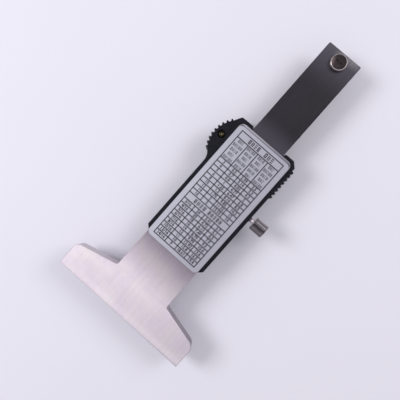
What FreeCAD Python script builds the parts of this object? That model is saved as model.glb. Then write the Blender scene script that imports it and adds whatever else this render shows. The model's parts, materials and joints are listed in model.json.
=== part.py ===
import FreeCAD, Part
import math
import os

import Sketcher

# Pit depth gauge with a T-shaped base, lying on its display side with the label up.
# Millimetres. The origin is the centre of the measuring face, at half the beam's thickness.
# +X runs along the beam away from the measuring face, +Y is the side of the toothed grip,
# and +Z is the label side.

SIZES = [
    ("base_width", 62.2, "length of the measuring face"),
    ("base_depth", 10.3, "measuring face to the shoulder corners"),
    ("base_corner_radius", 3.0, "rounding of the shoulder corners"),
    ("shoulder_reach", 14.8, "measuring face to where the shoulders meet the neck"),
    ("shoulder_fillet", 1.2, "rounding where a shoulder meets the neck"),
    ("neck_width", 26.0, "width of the neck and of the back plate"),
    ("plate_end", 90.0, "measuring face to the end of the back plate"),
    ("plate_end_radius", 2.2, "rounding of the back plate's far corners"),
    ("base_extra", 1.7, "how much thicker the base is than the neck, at the front"),
    ("base_step", 18.0, "measuring face to the step between base and neck"),
    ("frame_web", 1.45, "metal between the beam and the label"),
    ("frame_skirt", 0.3, "height of the rails past the beam's front"),
    ("frame_edge", 0.2, "chamfer round the frame's outline"),
    ("channel_start", 10.5, "measuring face to the step of the beam channel"),
    ("running_gap", 0.05, "clearance of the beam in its channel"),
    ("beam_width", 16.0, "width of the beam"),
    ("beam_thickness", 3.0, "thickness of the beam"),
    ("beam_end", 136.6, "measuring face to the beam's outer end"),
    ("beam_corner", 0.3, "chamfer of the beam's outer corners"),
    ("nose_width", 5.0, "width of the narrow measuring nose"),
    ("nose_gap", 0.08, "clearance of the nose in its slot"),
    ("tip_width", 0.8, "flat at the point of the nose"),
    ("tip_length", 3.6, "length of the pointed tip"),
    ("nose_spare", 1.0, "distance left between the two steps at full depth"),
    ("scale_inset", 2.5, "end of the scale strip to the beam's step"),
    ("scale_end", 129.0, "measuring face to the outer end of the scale strip"),
    ("scale_width", 9.8, "width of the scale strip"),
    ("scale_thickness", 0.25, "thickness of the scale strip"),
    ("scale_recess", 0.3, "depth of the recess for the scale strip"),
    ("scale_gap", 0.1, "clearance round the scale strip"),
    ("stop_place", 132.05, "measuring face to the stop screw"),
    ("stop_radius", 3.5, "radius of the stop screw's head"),
    ("stop_flat_radius", 2.85, "radius of the flat top of the stop screw"),
    ("stop_height", 1.8, "height of the stop screw's head"),
    ("stop_dome_radius", 1.6, "curve from the head's side to its flat top"),
    ("stop_gap", 0.1, "stop screw to the back plate at full depth"),
    ("stop_wall", 0.7, "straight part of the head's side"),
    ("stop_shank_radius", 1.25, "radius of the stop screw's shank"),
    ("screw_gap", 0.05, "clearance of a screw in its hole"),
    ("cross_length", 3.2, "span of the stop screw's cross recess"),
    ("cross_width", 0.7, "width of the stop screw's cross recess"),
    ("cross_depth", 0.9, "depth of the stop screw's cross recess"),
    ("gib_start", 41.0, "measuring face to the near end of the gib strip"),
    ("gib_length", 46.0, "length of the gib strip"),
    ("gib_height", 2.6, "height of the gib strip"),
    ("gib_thickness", 0.4, "thickness of the gib strip"),
    ("gib_gap", 0.1, "clearance behind the gib strip"),
    ("set_screw_first", 50.0, "measuring face to the first gib set screw"),
    ("set_screw_second", 76.0, "measuring face to the second gib set screw"),
    ("set_screw_radius", 0.8, "radius of a gib set screw"),
    ("set_screw_length", 2.6, "length of a gib set screw"),
    ("set_slot_width", 0.35, "width of a set screw's slot"),
    ("set_slot_depth", 0.6, "depth of a set screw's slot"),
    ("lock_place", 63.0, "measuring face to the lock screw"),
    ("lock_stem_radius", 1.0, "radius of the lock screw's stem"),
    ("lock_neck_radius", 0.8, "radius of the neck beside the lock screw's head"),
    ("lock_neck_length", 1.3, "length of that neck"),
    ("lock_head_start", 16.8, "middle of the beam to the lock screw's head"),
    ("lock_head_length", 5.6, "length of the lock screw's head"),
    ("lock_head_radius", 2.9, "radius of the lock screw's head"),
    ("lock_head_chamfer", 0.25, "chamfer of the lock screw's head"),
    ("lock_flutes", 24, "number of flutes round the head"),
    ("lock_flute_depth", 0.36, "depth of a flute"),
    ("lock_flute_angle", 40, "slope of a flute's sides, in degrees"),
    ("lock_hole_radius", 1.6, "radius of the hole in the housing wall"),
    ("housing_start", 33.4, "measuring face to the near end of the housing"),
    ("housing_end", 91.6, "measuring face to the far end of the housing"),
    ("housing_width", 29.3, "width of the housing without grip and ribs"),
    ("housing_rim", 0.6, "how far the housing's rim lies below the frame's back"),
    ("rim_edge", 0.3, "chamfer round the rim"),
    ("near_chamfer", 1.6, "chamfer of the housing's near corners"),
    ("far_chamfer", 2.1, "chamfer of the housing's far corners"),
    ("housing_wall", 1.5, "wall of the housing"),
    ("housing_gap", 0.1, "clearance of the frame in the housing"),
    ("lip_gap", 0.2, "clearance of the beam between the lips"),
    ("lip_radius", 0.8, "rounding of the lips"),
    ("grip_centre_along", 80.33, "measuring face to the grip's centre of curvature"),
    ("grip_centre_out", 6.62, "middle of the beam to that centre"),
    ("grip_radius", 12.4, "radius of the grip between its teeth"),
    ("grip_near_angle", 129, "where the grip's arc begins, in degrees"),
    ("grip_far_angle", 50, "where the grip's arc ends, in degrees"),
    ("grip_blend_radius", 6.0, "hollow curve from the housing's side to the grip"),
    ("grip_end_run", 0.65, "length of the grip's far corner along the beam"),
    ("grip_end_drop", 1.04, "length of that corner across the beam"),
    ("grip_end_radius", 1.2, "rounding of that corner"),
    ("grip_drop", 0.7, "how far the grip's back lies below the rim"),
    ("grip_front_drop", 1.4, "how far the grip's front lies behind the front face"),
    ("grip_root", 0.2, "overlap of the grip with the housing past its chamfer"),
    ("tooth_height", 0.72, "height of a grip tooth"),
    ("tooth_foot_angle", 4.6, "width of a grip tooth's foot, in degrees"),
    ("tooth_tip_angle", 2.7, "width of a grip tooth's tip, in degrees"),
    ("tooth_count", 9, "number of grip teeth"),
    ("tooth_first_angle", 52.2, "angle of the first grip tooth, in degrees"),
    ("tooth_span_angle", 69.4, "angle from the first to the last grip tooth"),
    ("rib_height", 0.8, "height of a side rib"),
    ("rib_foot", 1.05, "width of a side rib's foot"),
    ("rib_tip", 0.62, "width of a side rib's tip"),
    ("rib_root", 0.2, "overlap of a side rib with the housing"),
    ("rib_count", 8, "number of side ribs"),
    ("rib_first", 75.1, "measuring face to the first side rib"),
    ("rib_pitch", 1.794, "spacing of the side ribs"),
    ("rib_drop", 0.3, "how far the ribs end below the rim"),
    ("board_thickness", 1.0, "thickness of the circuit board"),
    ("board_gap", 0.2, "clearance round the circuit board"),
    ("ear_thickness", 1.2, "thickness of the screw ears"),
    ("ear_width", 3.8, "width of a screw ear"),
    ("parting_drop", 1.0, "screw ears to the parting line of the two mouldings"),
    ("cover_screw_near", 38.0, "measuring face to the near cover screws"),
    ("cover_screw_far", 86.5, "measuring face to the far cover screws"),
    ("cover_screw_out", 10.8, "middle of the beam to the cover screws"),
    ("cover_screw_radius", 0.8, "radius of a cover screw's shank"),
    ("cover_head_radius", 1.5, "radius of a cover screw's head"),
    ("cover_head_height", 0.75, "height of a cover screw's head"),
    ("cover_head_gap", 0.1, "clearance round a cover screw's head"),
    ("cover_screw_grip", 3.0, "length of a cover screw in its boss"),
    ("small_cross_length", 1.8, "span of a small screw's cross recess"),
    ("small_cross_width", 0.4, "width of a small screw's cross recess"),
    ("small_cross_depth", 0.4, "depth of a small screw's cross recess"),
    ("grip_screw_along", 81.15, "measuring face to the grip screw"),
    ("grip_screw_out", 16.25, "middle of the beam to the grip screw"),
    ("grip_head_radius", 1.3, "radius of the grip screw's head"),
    ("grip_bore_radius", 1.75, "radius of the sunk seat of the grip screw"),
    ("grip_bore_depth", 1.2, "depth of that seat"),
    ("front_skin", 1.2, "thickness of the front moulding's face"),
    ("front_edge", 0.8, "chamfer round the front face"),
    ("bezel_height", 0.8, "height of the raised display frame"),
    ("bezel_start", 35.5, "measuring face to the near end of the display frame"),
    ("bezel_end", 75.5, "measuring face to the far end of the display frame"),
    ("bezel_width", 26.0, "width of the display frame"),
    ("bezel_radius", 2.0, "corner radius of the display frame"),
    ("window_along", 57.0, "measuring face to the middle of the window"),
    ("window_out", 3.6, "middle of the beam to the middle of the window"),
    ("window_length", 31.5, "length of the window"),
    ("window_width", 13.5, "width of the window"),
    ("window_thickness", 1.0, "thickness of the window"),
    ("window_sink", 0.4, "depth of the window below the display frame"),
    ("window_ledge", 1.2, "width of the ledge that carries the window"),
    ("window_radius", 1.0, "corner radius of the window"),
    ("window_gap", 0.1, "clearance round the window"),
    ("glass_length", 32.0, "length of the display glass"),
    ("glass_width", 13.2, "width of the display glass"),
    ("glass_thickness", 1.8, "thickness of the display glass"),
    ("strip_length", 28.0, "length of a rubber connector strip"),
    ("strip_width", 1.8, "width of a rubber connector strip"),
    ("chip_size", 7.0, "side of the driver chip"),
    ("chip_height", 1.0, "height of the driver chip"),
    ("button_first", 48.0, "measuring face to the first button"),
    ("button_pitch", 9.0, "spacing of the buttons"),
    ("button_out", 8.8, "middle of the beam to the row of buttons"),
    ("button_length", 5.4, "length of a button"),
    ("button_width", 3.4, "width of a button"),
    ("button_radius", 0.9, "corner radius of a button"),
    ("button_proud", 0.5, "height of a button above the front face"),
    ("button_gap", 0.15, "clearance of a button in its hole"),
    ("button_flange", 0.7, "width of the flange that keeps a button in"),
    ("button_flange_thickness", 0.5, "thickness of that flange"),
    ("button_flange_gap", 0.1, "flange to the inner face"),
    ("button_stem_radius", 1.0, "radius of a button's stem"),
    ("button_travel", 0.4, "travel of a button"),
    ("dome_height", 0.35, "height of a switch dome"),
    ("dome_radius", 2.0, "radius of a switch dome"),
    ("dome_gap", 0.1, "what is left between stem and dome at full travel"),
    ("trough_margin", 0.75, "margin of the sunk field round the buttons"),
    ("cell_along", 83.95, "measuring face to the middle of the battery cell"),
    ("cell_radius", 5.8, "radius of the battery cell"),
    ("cell_height", 5.4, "height of the battery cell"),
    ("cell_cap_radius", 4.7, "radius of the cell's minus cap"),
    ("cell_cap_height", 0.4, "height of the cell's minus cap"),
    ("cell_edge", 0.4, "chamfer round the closed end of the cell's can"),
    ("cell_spring_space", 0.5, "circuit board to the battery cell"),
    ("cell_door_gap", 0.1, "battery cell to the battery door"),
    ("bay_gap", 0.2, "clearance of the cell between the bay walls"),
    ("bay_wall", 3.2, "thickness of a bay wall"),
    ("bay_height", 4.0, "height of a bay wall"),
    ("bay_lead", 1.0, "how far a bay wall runs past the door's opening"),
    ("contact_thickness", 0.2, "thickness of a battery contact"),
    ("contact_width", 3.0, "width of a battery contact"),
    ("contact_foot", 2.4, "length of a battery contact's foot"),
    ("contact_gap", 0.05, "battery contact to the cell"),
    ("contact_reach", 4.7, "height of the plus contact"),
    ("door_margin", 1.4, "cell to the near end of the battery door"),
    ("door_width", 13.6, "width of the battery door's outer plate"),
    ("door_flange", 0.9, "width of the battery door's runners"),
    ("door_outer", 0.7, "thickness of the battery door's outer plate"),
    ("door_runner", 0.4, "thickness of the battery door's runners"),
    ("door_gap", 0.1, "clearance of the battery door"),
    ("door_ridge", 0.3, "height of the ridges on the battery door"),
    ("door_ridge_length", 6.8, "length of a ridge on the battery door"),
    ("door_ridge_width", 0.6, "width of a ridge on the battery door"),
    ("door_ridge_pitch", 1.4, "spacing of those ridges"),
    ("door_ridge_count", 4, "number of those ridges"),
    ("label_start", 32.45, "measuring face to the near end of the label"),
    ("label_end", 88.9, "measuring face to the far end of the label"),
    ("label_width", 25.8, "width of the label"),
    ("label_thickness", 0.25, "thickness of the label"),
    ("label_radius", 2.0, "corner radius of the label"),
]

# What is cut runs past the solid by this much, so that no skin is left.
PAST = "1"

# Levels along Z, each worked out from the sizes above.
BEAM_BACK = "dims.beam_thickness / 2"
BEAM_FRONT = "(-dims.beam_thickness / 2)"
CHANNEL_ROOF = "(dims.beam_thickness / 2 + dims.running_gap)"
FRAME_BACK = "(dims.beam_thickness / 2 + dims.running_gap + dims.frame_web)"
FRAME_FRONT = "(-dims.beam_thickness / 2 - dims.frame_skirt)"
BASE_FRONT = "(" + FRAME_FRONT + " - dims.base_extra)"
RIM = "(" + FRAME_BACK + " - dims.housing_rim)"
GRIP_BACK = "(" + RIM + " - dims.grip_drop)"
BOARD_FRONT = "(" + FRAME_FRONT + " - dims.board_thickness)"
EAR_FRONT = "(" + BOARD_FRONT + " - dims.ear_thickness)"
PARTING = "(" + EAR_FRONT + " - dims.parting_drop)"
CELL_BACK = "(" + BOARD_FRONT + " - dims.cell_spring_space)"
CELL_FRONT = "(" + CELL_BACK + " - dims.cell_height)"
DOOR_BACK = "(" + CELL_FRONT + " - dims.cell_door_gap)"
DOOR_STEP = "(" + DOOR_BACK + " - dims.door_runner)"
FRONT_FACE = "(" + DOOR_STEP + " - dims.door_outer)"
INNER_FACE = "(" + FRONT_FACE + " + dims.front_skin)"
BEZEL_FACE = "(" + FRONT_FACE + " - dims.bezel_height)"
WINDOW_FRONT = "(" + BEZEL_FACE + " + dims.window_sink)"
WINDOW_BACK = "(" + WINDOW_FRONT + " + dims.window_thickness)"
GLASS_BACK = "(" + INNER_FACE + " + dims.glass_thickness)"
GRIP_FRONT = "(" + FRONT_FACE + " + dims.grip_front_drop)"
COVER_SEAT = "(" + FRAME_BACK + " - dims.cover_head_height - dims.cover_head_gap)"
COVER_TIP = "(" + EAR_FRONT + " - dims.cover_screw_grip)"
GRIP_SEAT = "(" + GRIP_BACK + " - dims.grip_bore_depth)"

# Distances along X and across Y.
HALF_NECK = "dims.neck_width / 2"
HALF_HOUSING = "dims.housing_width / 2"
HALF_BEAM = "dims.beam_width / 2"
POCKET_SIDE = "(dims.neck_width / 2 + dims.housing_gap)"
CAVITY_SIDE = "(dims.housing_width / 2 - dims.housing_wall)"
GIB_SIDE = "(dims.beam_width / 2 + dims.running_gap + dims.gib_thickness + dims.gib_gap)"
TRAVEL = "(dims.stop_place - dims.stop_radius - dims.stop_gap - dims.plate_end)"
BEAM_STEP = "(dims.channel_start + " + TRAVEL + " + dims.nose_spare)"
DOOR_START = "(dims.cell_along - dims.cell_radius - dims.door_margin)"
EAR_REACH = "(dims.cover_screw_out - dims.ear_width / 2)"

# The buttons, in their order along X.
BUTTONS = ("power_button", "unit_button", "zero_button")

doc = FreeCAD.newDocument("pit_depth_gauge")
sheet = doc.addObject("Spreadsheet::Sheet", "dims")
for row, (alias, size, meaning) in enumerate(SIZES, start=1):
    sheet.set("A%d" % row, alias)
    sheet.set("B%d" % row, str(size))
    sheet.set("C%d" % row, meaning)
    sheet.setAlias("B%d" % row, alias)
doc.recompute()

subparts = []


def number(expression):
    """The value of an expression at the present sizes."""
    return float(sheet.evalExpression(expression))


def keep(thing, label):
    """Name a finished sub-part and put it on the list that is written out."""
    thing.Label = label
    subparts.append(thing)
    return thing


def new_body(label):
    return keep(doc.addObject("PartDesign::Body", label), label)


def sketch_on(body, plane, height, along="0", across="0"):
    """A sketch parallel to one of the body's own planes, at a height along its normal."""
    origin_plane = [f for f in body.Origin.OriginFeatures if f.Role == plane][0]
    sketch = body.newObject("Sketcher::SketchObject", body.Label + "_sketch")
    sketch.AttachmentSupport = [(origin_plane, "")]
    sketch.MapMode = "FlatFace"
    sketch.setExpression("AttachmentOffset.Base.x", along)
    sketch.setExpression("AttachmentOffset.Base.y", across)
    sketch.setExpression("AttachmentOffset.Base.z", height)
    return sketch


def fix_point(sketch, curve, end, spot):
    """Hold one point of a curve at a place given by two expressions."""
    for kind, expression in (("DistanceX", spot[0]), ("DistanceY", spot[1])):
        held = Sketcher.Constraint(kind, -1, 1, curve, end, number(expression))
        sketch.setExpression("Constraints[%d]" % sketch.addConstraint(held), expression)


def fix_radius(sketch, curve, radius):
    held = Sketcher.Constraint("Radius", curve, number(radius))
    sketch.setExpression("Constraints[%d]" % sketch.addConstraint(held), radius)


def arc_between(start, end, radius, turn):
    """The short arc from start to end that turns left (1) or right (-1)."""
    middle = (start + end) / 2
    chord = end - start
    rise = math.sqrt(radius**2 - (chord.Length / 2) ** 2)
    side = FreeCAD.Vector(-chord.y, chord.x, 0).normalize() * turn
    centre = middle + side * rise
    if turn < 0:
        start, end = end, start
    angles = [math.atan2(p.y - centre.y, p.x - centre.x) for p in (start, end)]
    circle = Part.Circle(centre, FreeCAD.Vector(0, 0, 1), radius)
    return Part.ArcOfCircle(circle, angles[0], angles[1])


def closed_outline(sketch, corners, arcs=None):
    """Draw a closed outline. Corners are pairs of expressions. A side named in arcs is
    an arc, given as (radius, 1 for a left turn or -1 for a right turn)."""
    arcs = arcs or {}
    spots = [FreeCAD.Vector(number(x), number(y), 0) for x, y in corners]
    sides = []
    for i, spot in enumerate(spots):
        following = spots[(i + 1) % len(spots)]
        first, last = 1, 2
        if i in arcs:
            radius, turn = arcs[i]
            curve = sketch.addGeometry(arc_between(spot, following, number(radius), turn), False)
            if turn < 0:
                first, last = 2, 1
        else:
            curve = sketch.addGeometry(Part.LineSegment(spot, following), False)
        sides.append((curve, first, last))
    for i, (curve, first, last) in enumerate(sides):
        after = sides[(i + 1) % len(sides)]
        sketch.addConstraint(Sketcher.Constraint("Coincident", curve, last, after[0], after[1]))
        fix_point(sketch, curve, first, corners[i])
    for i, (radius, turn) in arcs.items():
        fix_radius(sketch, sides[i][0], radius)


def rectangle(x_low, x_high, y_low, y_high):
    """Something that draws a rectangle between four expressions."""
    corners = [(x_low, y_low), (x_high, y_low), (x_high, y_high), (x_low, y_high)]
    return lambda sketch: closed_outline(sketch, corners)


def centred_rectangle(x, y, length, width, margin="0"):
    """A rectangle about a middle point, wider all round by a margin."""
    half_x = "(%s) / 2 + (%s)" % (length, margin)
    half_y = "(%s) / 2 + (%s)" % (width, margin)
    return rectangle(
        "(%s) - (%s)" % (x, half_x),
        "(%s) + (%s)" % (x, half_x),
        "(%s) - (%s)" % (y, half_y),
        "(%s) + (%s)" % (y, half_y),
    )


def circles(spots, radius):
    """Something that draws a circle of one radius at each of several places."""

    def draw(sketch):
        for x, y in spots:
            centre = FreeCAD.Vector(number(x), number(y), 0)
            circle = Part.Circle(centre, FreeCAD.Vector(0, 0, 1), number(radius))
            curve = sketch.addGeometry(circle, False)
            fix_point(sketch, curve, 3, (x, y))
            fix_radius(sketch, curve, radius)

    return draw


def cross(length, width):
    """Something that draws the outline of a cross recess about the sketch's origin."""
    far, near = "(%s) / 2" % length, "(%s) / 2" % width
    quarter = [(far, near), (near, near), (near, far)]
    corners = []
    for turn in range(4):
        for x, y in quarter:
            for _ in range(turn):
                x, y = "(-(%s))" % y, x
            corners.append((x, y))
    return lambda sketch: closed_outline(sketch, corners)


def settle(body, feature, grows):
    """Work the feature out and make sure that it adds or removes metal as it should."""
    before = body.Shape.Volume if not body.Shape.isNull() else 0.0
    body.Tip = feature
    doc.recompute()
    change = body.Shape.Volume - before
    if (change > 0) != grows or abs(change) < 1e-6:
        raise RuntimeError("%s of %s changes nothing" % (feature.Name, body.Label))
    return feature


def pad(body, draw, low, high, plane="XY_Plane", along="0", across="0"):
    sketch = sketch_on(body, plane, low, along, across)
    draw(sketch)
    feature = body.newObject("PartDesign::Pad", body.Label + "_pad")
    feature.Profile = sketch
    feature.setExpression("Length", "(%s) - (%s)" % (high, low))
    return settle(body, feature, grows=True)


def pocket(body, draw, low, high, plane="XY_Plane", along="0", across="0"):
    """Cut from the sketch at the high level down to the low one."""
    sketch = sketch_on(body, plane, high, along, across)
    draw(sketch)
    feature = body.newObject("PartDesign::Pocket", body.Label + "_pocket")
    feature.Profile = sketch
    feature.setExpression("Length", "(%s) - (%s)" % (high, low))
    return settle(body, feature, grows=False)


def polar_pattern(body, feature, angle, count, grows):
    """Repeat a feature about the normal through its own sketch's origin."""
    pattern = body.newObject("PartDesign::PolarPattern", body.Label + "_turns")
    pattern.Originals = [feature]
    pattern.Axis = (feature.Profile[0], ["N_Axis"])
    pattern.setExpression("Angle", angle)
    pattern.setExpression("Occurrences", count)
    return settle(body, pattern, grows)


def row_pattern(body, feature, length, count, grows):
    """Repeat a feature along its own sketch's horizontal axis."""
    pattern = body.newObject("PartDesign::LinearPattern", body.Label + "_row")
    pattern.Originals = [feature]
    pattern.Direction = (feature.Profile[0], ["H_Axis"])
    pattern.setExpression("Length", length)
    pattern.setExpression("Occurrences", count)
    return settle(body, pattern, grows)


def upright_edges(shape, spots):
    """Names of the edges that stand upright at the given places."""
    names = []
    for i, edge in enumerate(shape.Edges, start=1):
        box = edge.BoundBox
        if box.ZLength < 1e-6 or box.XLength > 1e-6 or box.YLength > 1e-6:
            continue
        for x, y in spots:
            if abs(box.XMin - number(x)) < 1e-4 and abs(box.YMin - number(y)) < 1e-4:
                names.append("Edge%d" % i)
    return names


def level_edges(shape, level):
    """Names of the edges that lie at one height."""
    height = number(level)
    names = []
    for i, edge in enumerate(shape.Edges, start=1):
        if abs(edge.BoundBox.ZMin - height) < 1e-4 and abs(edge.BoundBox.ZMax - height) < 1e-4:
            names.append("Edge%d" % i)
    return names


def dress_edges(body, kind, names, size_name, size):
    """A fillet or a chamfer on edges of the body as it stands."""
    worked = body.Tip
    feature = body.newObject(kind, body.Label + "_edge")
    feature.Base = (worked, names)
    feature.setExpression(size_name, size)
    body.Tip = feature
    doc.recompute()
    if body.Shape.isNull() or not names:
        raise RuntimeError("%s of %s found no edges" % (feature.Name, body.Label))


def round_edges(body, names, radius):
    dress_edges(body, "PartDesign::Fillet", names, "Radius", radius)


def bevel_edges(body, names, size):
    dress_edges(body, "PartDesign::Chamfer", names, "Size", size)


def mirrored_spots(x, y):
    return [(x, "-(%s)" % y), (x, y)]


def cover_screw_spots():
    """The four cover screws, two at each end of the housing."""
    ends = ("dims.cover_screw_near", "dims.cover_screw_far")
    return [spot for x in ends for spot in mirrored_spots(x, "dims.cover_screw_out")]


def screw_ears(body, low, high):
    """A block at the side wall for each cover screw, between two levels."""
    for x in ("dims.cover_screw_near", "dims.cover_screw_far"):
        start = "%s - dims.ear_width / 2" % x
        end = "%s + dims.ear_width / 2" % x
        for inner, outer in ((EAR_REACH, CAVITY_SIDE), ("-" + CAVITY_SIDE, "-" + EAR_REACH)):
            pad(body, rectangle(start, end, inner, outer), low, high)


def button_place(index):
    return "dims.button_first + %d * dims.button_pitch" % index


# The slider frame is one piece of stainless steel: the T-shaped base, the thinner neck and
# the back plate, with the beam's channel milled from the front.
def make_slider_frame():
    body = new_body("slider_frame")
    half_base = "dims.base_width / 2"
    corners = [
        ("0", "-" + half_base),
        ("dims.base_depth", "-" + half_base),
        ("dims.shoulder_reach", "-" + HALF_NECK),
        ("dims.plate_end", "-" + HALF_NECK),
        ("dims.plate_end", HALF_NECK),
        ("dims.shoulder_reach", HALF_NECK),
        ("dims.base_depth", half_base),
        ("0", half_base),
    ]
    pad(body, lambda sketch: closed_outline(sketch, corners), BASE_FRONT, FRAME_BACK)
    for x, y, radius in (
        ("dims.base_depth", half_base, "dims.base_corner_radius"),
        ("dims.shoulder_reach", HALF_NECK, "dims.shoulder_fillet"),
        ("dims.plate_end", HALF_NECK, "dims.plate_end_radius"),
    ):
        round_edges(body, upright_edges(body.Shape, mirrored_spots(x, y)), radius)
    outline_edges = level_edges(body.Shape, FRAME_BACK) + level_edges(body.Shape, BASE_FRONT)
    bevel_edges(body, outline_edges, "dims.frame_edge")

    below = BASE_FRONT + " - " + PAST
    past_end = "dims.plate_end + " + PAST
    beside = "(%s + %s)" % (HALF_NECK, PAST)
    pocket(body, rectangle("dims.base_step", past_end, "-" + beside, beside), below, FRAME_FRONT)
    channel = rectangle(
        "dims.channel_start",
        past_end,
        "-" + GIB_SIDE,
        "%s + dims.running_gap" % HALF_BEAM,
    )
    pocket(body, channel, below, CHANNEL_ROOF)
    nose_side = "(dims.nose_width / 2 + dims.nose_gap)"
    slot = rectangle("-" + PAST, "dims.channel_start + " + PAST, "-" + nose_side, nose_side)
    pocket(body, slot, below, CHANNEL_ROOF)

    screw_hole = "dims.cover_screw_radius + dims.screw_gap"
    head_hole = "dims.cover_head_radius + dims.cover_head_gap"
    above = FRAME_BACK + " + " + PAST
    pocket(body, circles(cover_screw_spots(), screw_hole), below, above)
    pocket(body, circles(cover_screw_spots(), head_hole), COVER_SEAT, above)

    # The holes for the lock screw and the two set screws run across the rail on the -Y side.
    outside = HALF_NECK + " + " + PAST
    lock_hole = "dims.lock_stem_radius + dims.screw_gap"
    pocket(body, circles([("dims.lock_place", "0")], lock_hole), HALF_BEAM, outside, "XZ_Plane")
    set_spots = [("dims.set_screw_first", "0"), ("dims.set_screw_second", "0")]
    set_hole = "dims.set_screw_radius + dims.screw_gap"
    pocket(body, circles(set_spots, set_hole), HALF_BEAM, outside, "XZ_Plane")


# The beam carries the scale strip in its front and ends in a narrow nose with a point.
def make_beam():
    body = new_body("beam")
    half_nose, half_tip = "dims.nose_width / 2", "dims.tip_width / 2"
    step_run = "(%s + (%s - %s) / 2)" % (BEAM_STEP, HALF_BEAM, half_nose)
    upper = [
        ("dims.beam_end", "%s - dims.beam_corner" % HALF_BEAM),
        ("dims.beam_end - dims.beam_corner", HALF_BEAM),
        (step_run, HALF_BEAM),
        (BEAM_STEP, half_nose),
        ("dims.tip_length", half_nose),
        ("0", half_tip),
    ]
    lower = [(x, "-(%s)" % y) for x, y in reversed(upper)]
    draw = lambda sketch: closed_outline(sketch, upper + lower)
    pad(body, draw, BEAM_FRONT, BEAM_BACK)
    recess = rectangle(
        "%s + dims.scale_inset - dims.scale_gap" % step_run,
        "dims.scale_end + dims.scale_gap",
        "-dims.scale_width / 2 - dims.scale_gap",
        "dims.scale_width / 2 + dims.scale_gap",
    )
    pocket(body, recess, BEAM_FRONT + " - " + PAST, BEAM_FRONT + " + dims.scale_recess")
    hole = circles([("dims.stop_place", "0")], "dims.stop_shank_radius + dims.screw_gap")
    pocket(body, hole, BEAM_FRONT + " - " + PAST, BEAM_BACK + " + " + PAST)

    strip = new_body("scale_strip")
    face = BEAM_FRONT + " + dims.scale_recess"
    shape = rectangle(
        "%s + dims.scale_inset" % step_run,
        "dims.scale_end",
        "-dims.scale_width / 2",
        "dims.scale_width / 2",
    )
    pad(strip, shape, face + " - dims.scale_thickness", face)


# The stop screw's domed head meets the back plate at full depth.
def make_stop_screw():
    body = new_body("stop_screw")
    sketch = sketch_on(body, "XZ_Plane", "0", along="dims.stop_place")
    shank_end = BEAM_FRONT + " + dims.scale_recess"
    top = BEAM_BACK + " + dims.stop_height"
    corners = [
        ("0", shank_end),
        ("dims.stop_shank_radius", shank_end),
        ("dims.stop_shank_radius", BEAM_BACK),
        ("dims.stop_radius", BEAM_BACK),
        ("dims.stop_radius", BEAM_BACK + " + dims.stop_wall"),
        ("dims.stop_flat_radius", top),
        ("0", top),
    ]
    closed_outline(sketch, corners, {4: ("dims.stop_dome_radius", 1)})
    head = body.newObject("PartDesign::Revolution", "stop_screw_turned")
    head.Profile = sketch
    head.ReferenceAxis = (sketch, ["V_Axis"])
    settle(body, head, grows=True)
    recess = cross("dims.cross_length", "dims.cross_width")
    floor = top + " - dims.cross_depth"
    pocket(body, recess, floor, top + " + " + PAST, along="dims.stop_place")


# The lock screw presses the gib against the beam. Its head has straight flutes all round.
def make_lock_screw():
    body = new_body("lock_screw")
    on_axis = {"plane": "XZ_Plane", "along": "dims.lock_place"}
    head_end = "(dims.lock_head_start + dims.lock_head_length)"
    neck_start = "(dims.lock_head_start - dims.lock_neck_length)"
    round_head = circles([("0", "0")], "dims.lock_head_radius")
    pad(body, round_head, "dims.lock_head_start", head_end, **on_axis)
    ends = []
    for i, edge in enumerate(body.Shape.Edges, start=1):
        if edge.BoundBox.YLength < 1e-6:
            ends.append("Edge%d" % i)
    bevel_edges(body, ends, "dims.lock_head_chamfer")
    half_flute = "(dims.lock_flute_depth * tan(dims.lock_flute_angle))"
    outside = "(dims.lock_head_radius + dims.lock_flute_depth)"
    flute = [
        ("dims.lock_head_radius - dims.lock_flute_depth", "0"),
        (outside, "-2 * " + half_flute),
        (outside, "2 * " + half_flute),
    ]
    draw = lambda sketch: closed_outline(sketch, flute)
    low = "dims.lock_head_start - " + PAST
    first = pocket(body, draw, low, head_end + " + " + PAST, **on_axis)
    turn = "360 / dims.lock_flutes * (dims.lock_flutes - 1)"
    polar_pattern(body, first, turn, "dims.lock_flutes", grows=False)
    neck = circles([("0", "0")], "dims.lock_neck_radius")
    pad(body, neck, neck_start, "dims.lock_head_start + dims.lock_head_chamfer", **on_axis)
    stem = circles([("0", "0")], "dims.lock_stem_radius")
    pad(body, stem, GIB_SIDE, neck_start, **on_axis)


def make_gib():
    body = new_body("gib_strip")
    outer = "(%s + dims.running_gap + dims.gib_thickness)" % HALF_BEAM
    inner = "(%s + dims.running_gap)" % HALF_BEAM
    shape = rectangle(
        "dims.gib_start", "dims.gib_start + dims.gib_length", "-" + outer, "-" + inner
    )
    pad(body, shape, "-dims.gib_height / 2", "dims.gib_height / 2")


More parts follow.
